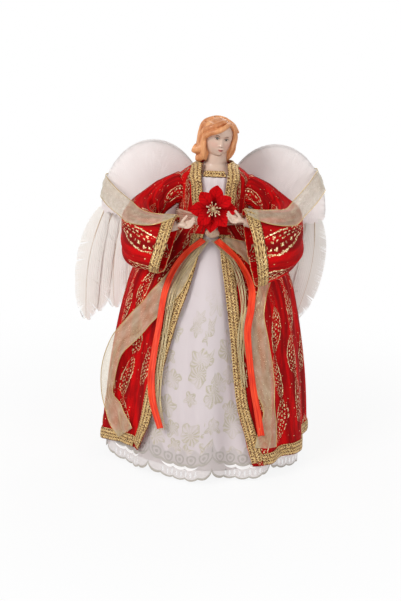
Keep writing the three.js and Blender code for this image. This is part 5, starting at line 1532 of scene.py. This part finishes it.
def relief(x, z):
    """How far the face stands out from the plain skull, in millimetres."""
    ax, up = np.abs(x), z / SKULL_HIGH
    fall = np.clip((0.16 - up) / 0.38, 0, 1)
    ridge = np.exp(-((x / (SKULL_WIDE * (0.06 + 0.055 * fall))) ** 2))
    nose = 2.5 * fall**1.2 * ridge * (1 - smooth((-0.215 - up) / 0.06))
    nose = nose + 0.8 * hill(ax, z, 0.10, -0.225, 0.06, 0.04)
    eyes = 0.75 * hill(ax, z, 0.32, 0.13, 0.12, 0.06) - 1.3 * hill(ax, z, 0.31, 0.13, 0.2, 0.13)
    brows = 0.45 * hill(ax, z, 0.32, 0.30, 0.25, 0.07)
    cheeks = 0.5 * hill(ax, z, 0.5, -0.2, 0.25, 0.2)
    lips = 0.7 * hill(x, z, 0.03, -0.425, 0.12, 0.03) + 0.8 * hill(x, z, 0.03, -0.485, 0.10, 0.03)
    lips = lips - 0.5 * hill(x, z, 0.03, -0.455, 0.14, 0.012) + 0.5 * hill(x, z, 0.02, -0.45, 0.25, 0.12)
    chin = 1.3 * hill(x, z, 0.02, -0.72, 0.22, 0.12)
    return nose + eyes + brows + cheeks + lips + chin


def skull_point(angle, share, grow=0.0):
    angle, share = np.broadcast_arrays(angle, share)
    facing = np.cos(angle)
    x = SKULL_WIDE * curve_at(SKULL, SKULL_X, share) * np.sin(angle)
    z = SKULL_HIGH * share
    stands_out = relief(x, z) * np.clip(facing * 2, 0, 1)
    near = SKULL_FRONT * curve_at(SKULL, SKULL_NEAR, share) * facing + stands_out
    far = SKULL_BACK * curve_at(SKULL, SKULL_FAR, share) * facing
    p = np.stack([x, -np.where(facing > 0, near, far), z], -1)
    return p * (1 + grow / np.linalg.norm(p, axis=-1, keepdims=True)) if grow else p


print("eye at", np.round(from_head(skull_point(0.33, 0.13)), 1))

# %% Painted porcelain
def make_porcelain(name, painted):
    finish = Finish(name)
    cloud = finish.noise(finish.place(), 90.0, 2.0)
    colour = finish.blend(cloud, dye(0.825, 0.705, 0.63), dye(0.87, 0.765, 0.69))
    if painted:
        x, z = finish.cloth()
        z = z + x * 0.10
        ax = abs(x)

        def oval(u, u0, v0, wide, high):
            return ((u - u0) / wide).far((z - v0) / high)

        def spot(u, u0, v0, wide, high, soft):
            return 1.0 - oval(u, u0, v0, wide, high).step(1.0 - soft, 1.0 + soft)

        lid = 1.0 - abs(oval(ax, 4.9, 2.3, 2.35, 1.55) - 1.0).step(0.05, 0.22)
        brow = 1.0 - abs(oval(ax, 5.0, 0.6, 3.6, 5.3) - 1.0).step(0.03, 0.10)
        layers = [
            (spot(ax, 7.0, -4.6, 3.8, 3.2, 0.85) * 0.22, dye(0.93, 0.58, 0.52)),
            (spot(ax, 4.9, 3.2, 3.2, 1.9, 0.6) * 0.40, dye(0.66, 0.47, 0.38)),
            (spot(ax, 4.9, 2.45, 2.0, 0.9, 0.18), dye(0.86, 0.81, 0.76)),
            (spot(ax, 4.85, 2.5, 1.35, 1.15, 0.15), dye(0.24, 0.17, 0.09)),
            (spot(ax, 4.85, 2.5, 0.65, 0.65, 0.2), dye(0.05, 0.03, 0.03)),
            # A white dot in each eye, off to the same side in both: a painted highlight.
            (spot(x, 5.2, 2.95, 0.2, 0.2, 0.3).high(spot(x, -4.5, 2.95, 0.2, 0.2, 0.3)), dye(1, 1, 1)),
            (lid * z.step(2.2, 2.8), dye(0.22, 0.12, 0.08)),
            (lid * (1.0 - z.step(1.3, 2.2)) * 0.4, dye(0.55, 0.36, 0.30)),
            (brow * z.step(4.6, 5.3) * (1.0 - ax.step(7.2, 8.6)), dye(0.44, 0.28, 0.19)),
            (spot(ax, 1.15, -5.55, 0.5, 0.26, 0.4) * 0.7, dye(0.55, 0.33, 0.28)),
            (spot(x, 0.45, -8.75, 2.9, 0.62, 0.3) * 0.9, dye(0.68, 0.30, 0.28)),
            (spot(x, 0.45, -9.6, 2.2, 0.75, 0.35) * 0.85, dye(0.74, 0.37, 0.34)),
            (spot(x, 0.45, -9.1, 2.7, 0.22, 0.5) * 0.85, dye(0.45, 0.15, 0.14)),
        ]
        for share, paint in layers:
            colour = finish.blend(share, colour, paint)
    return finish.done(
        Base_Color=colour, Roughness=0.38 + cloud * 0.08, Normal=finish.bump(cloud, 0.05), Coat_Weight=0.12,
        Subsurface_Weight=0.05, Subsurface_Radius=(0.002, 0.001, 0.0008),
    )


face_paint = make_porcelain("painted_porcelain", True)
porcelain = make_porcelain("plain_porcelain", False)
print("face nodes", len(face_paint.node_tree.nodes))

# %% Make the bust
UNPAINTED = 200.0
angle = np.linspace(0, TAU, 241)[None, :] + math.pi
share = np.linspace(-0.995, 0.998, 220)[:, None]
skull = skull_point(angle, share)
painted_x = np.where(np.cos(angle + 0 * share) > 0.05, skull[..., 0], UNPAINTED)
face = grid(from_head(skull), np.stack([painted_x, skull[..., 2]], -1), closed=True)
nape = np.array([1.5, -2.0, 331.4])
neck_line = spline(np.array([[0, 0, 306.0], [0.45, -0.5, 313.0], nape]), np.linspace(0, 1, 30))
neck_radius = lambda t: float(curve_at([0, 0.15, 0.3, 0.5, 1], [19, 16, 13.4, 11.6, 11.2], t))
neck = tube_grid(neck_line, neck_radius, 64)
neck = (neck[0], neck[1], np.full_like(neck[2], UNPAINTED))
turns = np.linspace(0, TAU, 97)
rings = []
for u in np.linspace(0, 1, 26):
    edge = robe_point(turns, 302.0, -5.0, False)
    root = np.stack([0.3 + 12.8 * np.sin(turns), -0.4 - 12.8 * np.cos(turns), 0 * turns], -1)
    ring = mix(edge, root, smooth(u) * 0.55 + 0.45 * u)
    ring[:, 2] = 301.0 + 11.5 * u**1.35
    rings.append(ring)
rings = np.array([rings[0] - (0, 0, 7), *rings])
plate = grid(rings, np.full((*rings.shape[:2], 2), UNPAINTED), closed=True)
make_piece("bust_porcelain", [face, neck, plate], face_paint, ["bust"])

# %% [markdown]
# ## Moulded hair
# The hair is one moulded mass: a cap that dips under the skin where the face shows, and thick
# locks that start at the parting, sweep round the brow and flip out at the jaw. The whole is
# melted together by a fine remesh and softened, like a cast from a worn mould.

# %% The cap and its locks
HAIR = [-1.3, -1.05, -0.75, -0.4, 0, 0.35, 0.65, 0.88, 1.03]
HAIR_WIDE = [0.72, 0.98, 1.13, 1.16, 1.15, 1.13, 0.99, 0.66, 0.08]
HAIR_NEAR = [0.35, 0.6, 0.78, 0.92, 1.02, 1.08, 1.02, 0.72, 0.08]
HAIR_FAR = [0.4, 0.72, 0.98, 1.12, 1.18, 1.2, 1.08, 0.76, 0.08]
BROW = [-1.3, -1.0, -0.5, -0.2, 0.14, 0.3, 0.45, 0.6, 0.72, 0.8]
BROW_LEFT = [-52, -56, -60, -63, -64, -56, -38, -8, 22, 38]
BROW_RIGHT = [44, 47, 50, 53, 55, 55, 54, 51, 45, 38]


def hair_point(angle, share, lift=0.0):
    angle, share, lift = np.broadcast_arrays(np.asarray(angle, float), np.asarray(share, float), lift)
    facing = np.cos(angle)
    near = SKULL_FRONT * curve_at(HAIR, HAIR_NEAR, share)
    far = SKULL_BACK * curve_at(HAIR, HAIR_FAR, share)
    wide = SKULL_WIDE * curve_at(HAIR, HAIR_WIDE, share) + lift
    deep = np.where(facing > 0, near, far) + lift
    return np.stack([wide * np.sin(angle), -deep * facing, SKULL_HIGH * share], -1)


angle = np.linspace(-math.pi, math.pi, 361)[None, :]
share = np.linspace(-1.3, 1.03, 180)[:, None]
wave = 0.5 * np.cos(9 * angle + 3 * share) - 0.55 * np.abs(np.sin(13 * angle + 1.6 * np.sin(4 * share)))
cap = hair_point(angle, share, wave * smooth((0.95 - share) * 2) - 0.4)
left, right = (curve_at(BROW, table, share) * DEGREE for table in (BROW_LEFT, BROW_RIGHT))
inside = np.minimum(angle - left, right - angle) * np.where(share < 0.8, 1, 0) / (4 * DEGREE)
under = cap * (0.62, 0.70, 1)
cap = mix(cap, under, smooth(inside + 0.5)[..., None])
cap = np.concatenate([cap[:1] * (0, 0, 1), cap, cap[-1:] * (0, 0, 1)])
pieces = [grid(from_head(cap), np.zeros((*cap.shape[:2], 2)), closed=True)]

LOCKS = [
    (2.9, 0.94, [(38, 0.88, 0.0), (12, 0.80, 0.4), (-18, 0.60, 0.8), (-46, 0.36, 0.6), (-64, 0.08, 0.3),
                 (-67, -0.3, 0.2), (-64, -0.62, 0.4), (-66, -0.84, 1.0)]),
    (3.1, 0.94, [(36, 0.96, 0.0), (-5, 0.92, 0.3), (-42, 0.72, 0.6), (-72, 0.40, 0.4), (-86, 0.02, 0.3),
                 (-87, -0.36, 0.3), (-86, -0.62, 0.8)]),
    (4.8, 0.62, [(-70, -0.35, -1.0), (-74, -0.56, 0.8), (-82, -0.68, 3.4), (-90, -0.64, 6.2)]),
    (4.1, 0.66, [(-60, -0.70, -1.0), (-64, -0.95, 0.8), (-76, -1.10, 3.0), (-86, -1.12, 5.4)]),
    (3.0, 0.94, [(-62, -0.15, 0.2), (-60, -0.55, 0.3), (-56, -0.88, 0.6), (-52, -1.10, 0.9)]),
    (2.3, 0.94, [(42, 0.88, 0.0), (53, 0.62, 0.4), (57, 0.30, 0.5), (55, -0.1, 0.2), (51, -0.45, 0.2),
                 (49, -0.82, 0.4), (54, -1.12, 0.8)]),
    (2.1, 0.94, [(44, 0.92, 0.0), (64, 0.72, 0.4), (78, 0.50, 1.2), (87, 0.34, 3.4)]),
    (2.6, 0.94, [(56, 0.60, 0.2), (68, 0.20, 0.4), (66, -0.25, 0.2), (72, -0.6, 0.6), (66, -0.98, 0.6)]),
    (2.8, 0.94, [(-100, 0.7, 0.0), (-106, 0.2, 0.3), (-103, -0.3, 0.3), (-108, -0.8, 1.6),
                 (-104, -1.05, 3.4)]),
]
for k in range(11):
    a = 92 + 15.5 * k
    places = [(mix(a, 180, 0.3), 0.93, 0.0), (a, 0.6, 0.3), (a + 4, 0.1, 0.4), (a - 4, -0.4, 0.4)]
    places += [(a + 4, -0.85, 0.8), (a, -1.15, 1.6 + 0.5 * (k % 3))]
    LOCKS.append((2.7, 0.94, places))
for thick, taper, places in LOCKS:
    table = np.array(places)
    line = from_head(hair_point(table[:, 0] * DEGREE, table[:, 1], table[:, 2]))
    line = spline(line, np.linspace(0, 1, 50))
    swell = lambda u: thick * (0.35 + 0.65 * math.sin(math.pi * mix(0.12, taper, u)) ** 0.7)
    pieces.append(tube_grid(line, swell, 14))
print("locks of hair", len(LOCKS))

# %% Melt the hair together and paint it
def melt(piece, voxel, rounds):
    """Joins a mesh's overlapping parts into one skin and softens it."""
    remesh = piece.modifiers.new("melt", "REMESH")
    remesh.mode = "VOXEL"
    remesh.voxel_size = voxel * MM
    remesh.use_smooth_shade = True
    soften = piece.modifiers.new("soften", "SMOOTH")
    soften.factor = 0.5
    soften.iterations = rounds


hair_paint = Finish("hair_paint")
x, y, z = hair_paint.split(hair_paint.place())
strand = hair_paint.noise(hair_paint.vector(x * 620.0, y * 620.0, z * 70.0), 1.0, 3.0)
broad = hair_paint.noise(hair_paint.vector(x * 150.0, y * 150.0, z * 30.0), 1.0, 2.0)
share = strand * 0.3 + broad.step(0.3, 0.7) * 0.6
hair_colour = hair_paint.blend(share, dye(0.72, 0.41, 0.21), dye(0.98, 0.73, 0.51))
hair_paint = hair_paint.done(
    Base_Color=hair_colour,
    Roughness=0.40 + strand * 0.15,
    Normal=hair_paint.bump(strand * 0.6 + broad, 0.3),
    Coat_Weight=0.1,
)
hair = make_piece("hair_moulded", pieces, hair_paint, ["hair"])
melt(hair, 0.42, 4)

# %% [markdown]
# ## The hands
# A hand is a palm, four bent fingers and a thumb, each a tube, melted together the same way.

# %% Make the hands
FINGERS = ((-1.5, 0.86), (-0.5, 1.0), (0.5, 0.97), (1.5, 0.84))
for name, side in SIDES:
    ahead = hand_direction(side)
    up = np.array([0.0, 0.0, 1.0])
    out = np.cross(ahead, up)
    out = side * out / np.linalg.norm(out)
    wrist = arm_point(side, 1.0)[0] + 1.2 * ahead
    place = lambda a, u, o: wrist + a * ahead + u * up + o * out
    palm_line = [place(-1.2, 0, 0), place(2.5, -0.4, 0), place(6, -1.5, 0), place(9, -2.6, 0)]
    palm_thick = lambda t: curve_at([0, 0.3, 0.7, 1], [3.5, 3.9, 4.6, 3.0], t)
    parts = [tube_grid(spline(palm_line, np.linspace(0, 1, 16)), palm_thick, 20, 0.66)]
    for k, long in FINGERS:
        spread = 2.1 * k
        reach = 10 * long
        base = place(7.4, spread * 0.75 - 1.6, spread * 0.75)
        knuckle = place(9 + reach * 0.42, spread * 0.8 - 2.3, spread * 0.82)
        tip = place(9 + reach * 0.86, spread * 0.85 + 0.8, spread * 0.95)
        bent = spline([base, knuckle, mix(knuckle, tip, 0.55) - 0.2 * up, tip], np.linspace(0, 1, 18))
        parts.append(tube_grid(bent, lambda t: 1.32 * (1 - 0.28 * t), 10))
    thumb = spline([place(2.5, 0.6, 0), place(6.2, 4.2, 0.3), place(9.6, 7.0, 0.2)], np.linspace(0, 1, 14))
    parts.append(tube_grid(thumb, lambda t: 1.6 * (1 - 0.28 * t), 10))
    hand = make_piece(f"{name}_hand_porcelain", parts, porcelain, [f"{name}_hand"])
    melt(hand, 0.26, 3)

# %% [markdown]
# ## The poinsettia
# Eight cloth petals in two whorls, each creased along its middle rib, with side veins pressed in.
# The stamens are fine wires with a pearl on each.

# %% Petal cloth and pearls
petal_cloth = Finish("petal_cloth")
across, along = petal_cloth.cloth()
side_vein = ((along - abs(across) * 1.1) * (TAU / 4.2)).sin().step(0.90, 0.995)
rib = 1.0 - abs(across).step(0.15, 0.5)
nap = petal_cloth.noise(petal_cloth.place(), 1400.0, 2.0)
deep_red = petal_cloth.blend(along.step(3.0, 14.0), dye(0.55, 0.0, 0.02), dye(0.84, 0.0, 0.035))
petal_red = petal_cloth.blend(nap * 0.3 + side_vein * 0.3 + rib * 0.25, deep_red, dye(0.50, 0.0, 0.02))
petal_cloth = petal_cloth.done(
    Base_Color=petal_red, Roughness=0.8, Normal=petal_cloth.bump(nap * 0.4 - side_vein - rib, 0.35),
    Specular_IOR_Level=0.12, Sheen_Weight=0.04, Sheen_Tint=dye(1.0, 0.2, 0.2),
)
pearl_colours = dye(0.72, 0.58, 0.36), dye(0.96, 0.90, 0.76)
pearl = grained("gold_pearl", 500.0, *pearl_colours, Metallic=0.45, Roughness=0.28, Coat_Weight=0.3)
print("petal nodes", len(petal_cloth.node_tree.nodes))

# %% Make the flower
PETAL = [0, 0.18, 0.38, 0.6, 0.82, 1]
PETAL_WIDE = [0.2, 0.3, 0.8, 1, 0.66, 0.05]
FLOWER = np.array([0, -54.0, 274.0])


def petal(size, turned, forward, seed):
    t = np.linspace(0, 1, 34)[:, None]
    q = np.linspace(-1, 1, 19)[None, :]
    half = 7.5 * size * curve_at(PETAL, PETAL_WIDE, t) * (1 + 0.05 * np.sin(9 * t + seed))
    reach = 1.6 + (24 * size - 1.6) * t
    out = 1.6 * np.abs(q) * np.sin(math.pi * t) + 4.5 * t**3 * (0.75 + 0.25 * math.sin(3 * seed))
    out = out + 0.35 * np.sin(2.2 * q + 7 * t + seed) * t
    x, y, z = np.broadcast_arrays(half * q, -out - forward, reach)
    cloth = on_cloth(x, z)
    turn = turned * DEGREE
    turned_x = x * math.cos(turn) + z * math.sin(turn)
    points = np.stack([turned_x, y, z * math.cos(turn) - x * math.sin(turn)], -1)
    return grid(points + FLOWER, cloth)


whorls = [petal(1.0, a, 0.0, 1.3 * k) for k, a in enumerate((8, 92, 185, 265))]
whorls += [petal(0.9, a, 3.2, 2.1 * k + 0.5) for k, a in enumerate((53, 140, 222, 322))]
hub = tube_grid(np.array([FLOWER + (0, 0.4, 0), FLOWER - (0, 3.6, 0)]), 3.6, 20)
make_piece("poinsettia_petals", [*whorls, hub], petal_cloth, ["flower_petals"], thickness=0.7)
heart = FLOWER - (0, 4.05, 0)
filaments = [tube_grid(np.array([heart + (0, 0.2, 0), heart - (0, 0.9, 0)]), 2.4, 16)]
for k in range(15):
    turn, reach = 2.4 * k, 1.8 + 6.0 * math.sqrt((k + 0.5) / 15)
    tip = heart + np.array([math.sin(turn) * reach, -6.4 + 0.25 * reach, math.cos(turn) * reach])
    foot = heart + np.array([math.sin(turn) * 0.9, -0.4, math.cos(turn) * 0.9])
    bent = spline([foot, mix(foot, tip, 0.5) - (0, 0.5, 0), tip], np.linspace(0, 1, 7))
    filaments.append(tube_grid(bent, 0.32, 6))
    bead = tip + np.linspace(-1, 1, 9)[:, None] * (tip - foot) / np.linalg.norm(tip - foot)
    filaments.append(tube_grid(bead, lambda u: math.sqrt(max(0.0, 1 - (2 * u - 1) ** 2)) * 0.75 + 0.02, 12))
make_piece("poinsettia_stamens", filaments, pearl, ["flower_stamens"])

# %% [markdown]
# ## Hidden pieces
# A small wadded pad holds the wings off the robe. The cone, the wing card, the arm wire and the
# stem keep the solids' own shape and only get their finish.

# %% Wing pad and the plain finishes
rows = []
q = np.linspace(1, -1, 17)
for t in np.linspace(0, 1, 30):
    z = 288 + 15 * (2 * t - 1)
    wide = 9 * q
    angle = math.pi - np.arcsin(wide / float(half_width(np.array(z))))
    near = robe_point(angle, np.full(17, z), 1.6, False)
    far = np.stack([wide, np.full(17, 36.6), np.full(17, z)], -1)
    ring = np.concatenate([near, far[::-1], near[:1]])
    middle = ring.mean(0)
    rows.append(middle + (ring - middle) * (0.9 + 0.1 * math.sin(math.pi * t)))
rows = np.array([rows[0] * 0 + rows[0].mean(0), *rows, rows[-1] * 0 + rows[-1].mean(0)])
cloth = on_cloth(np.linspace(0, 60, rows.shape[1])[None, :], np.linspace(0, 30, len(rows))[:, None])
wing_pad = make_piece("wing_pad_wadding", [grid(rows, cloth, closed=True)], cotton, ["wing_pad"])


def plain_finish(name, first, second, scale, roughness, metallic=0.0):
    finish = Finish(name)
    grain = finish.noise(finish.place(), scale)
    return finish.done(
        Base_Color=finish.blend(grain, first, second),
        Roughness=roughness + grain * 0.1,
        Metallic=metallic,
        Normal=finish.bump(grain, 0.1),
    )


finishes = {
    "support_cone": plain_finish("cone_card", dye(0.90, 0.87, 0.82), dye(0.97, 0.95, 0.91), 350.0, 0.75),
    "wing_card": plain_finish("wing_card_board", dye(0.84, 0.81, 0.76), dye(0.93, 0.91, 0.87), 350.0, 0.75),
    "arm_wire": plain_finish("arm_steel", dye(0.52, 0.52, 0.53), dye(0.70, 0.70, 0.71), 600.0, 0.3, 0.9),
    "flower_stem": plain_finish("stem_tape", dye(0.18, 0.30, 0.16), dye(0.30, 0.43, 0.25), 700.0, 0.6),
}
for name, finish in finishes.items():
    nodes[name].data.materials.clear()
    nodes[name].data.materials.append(finish)
print("bare solids finished:", ", ".join(finishes))

# %% [markdown]
# The dressed figure should fill the same room as its solids, give or take the softness of cloth.
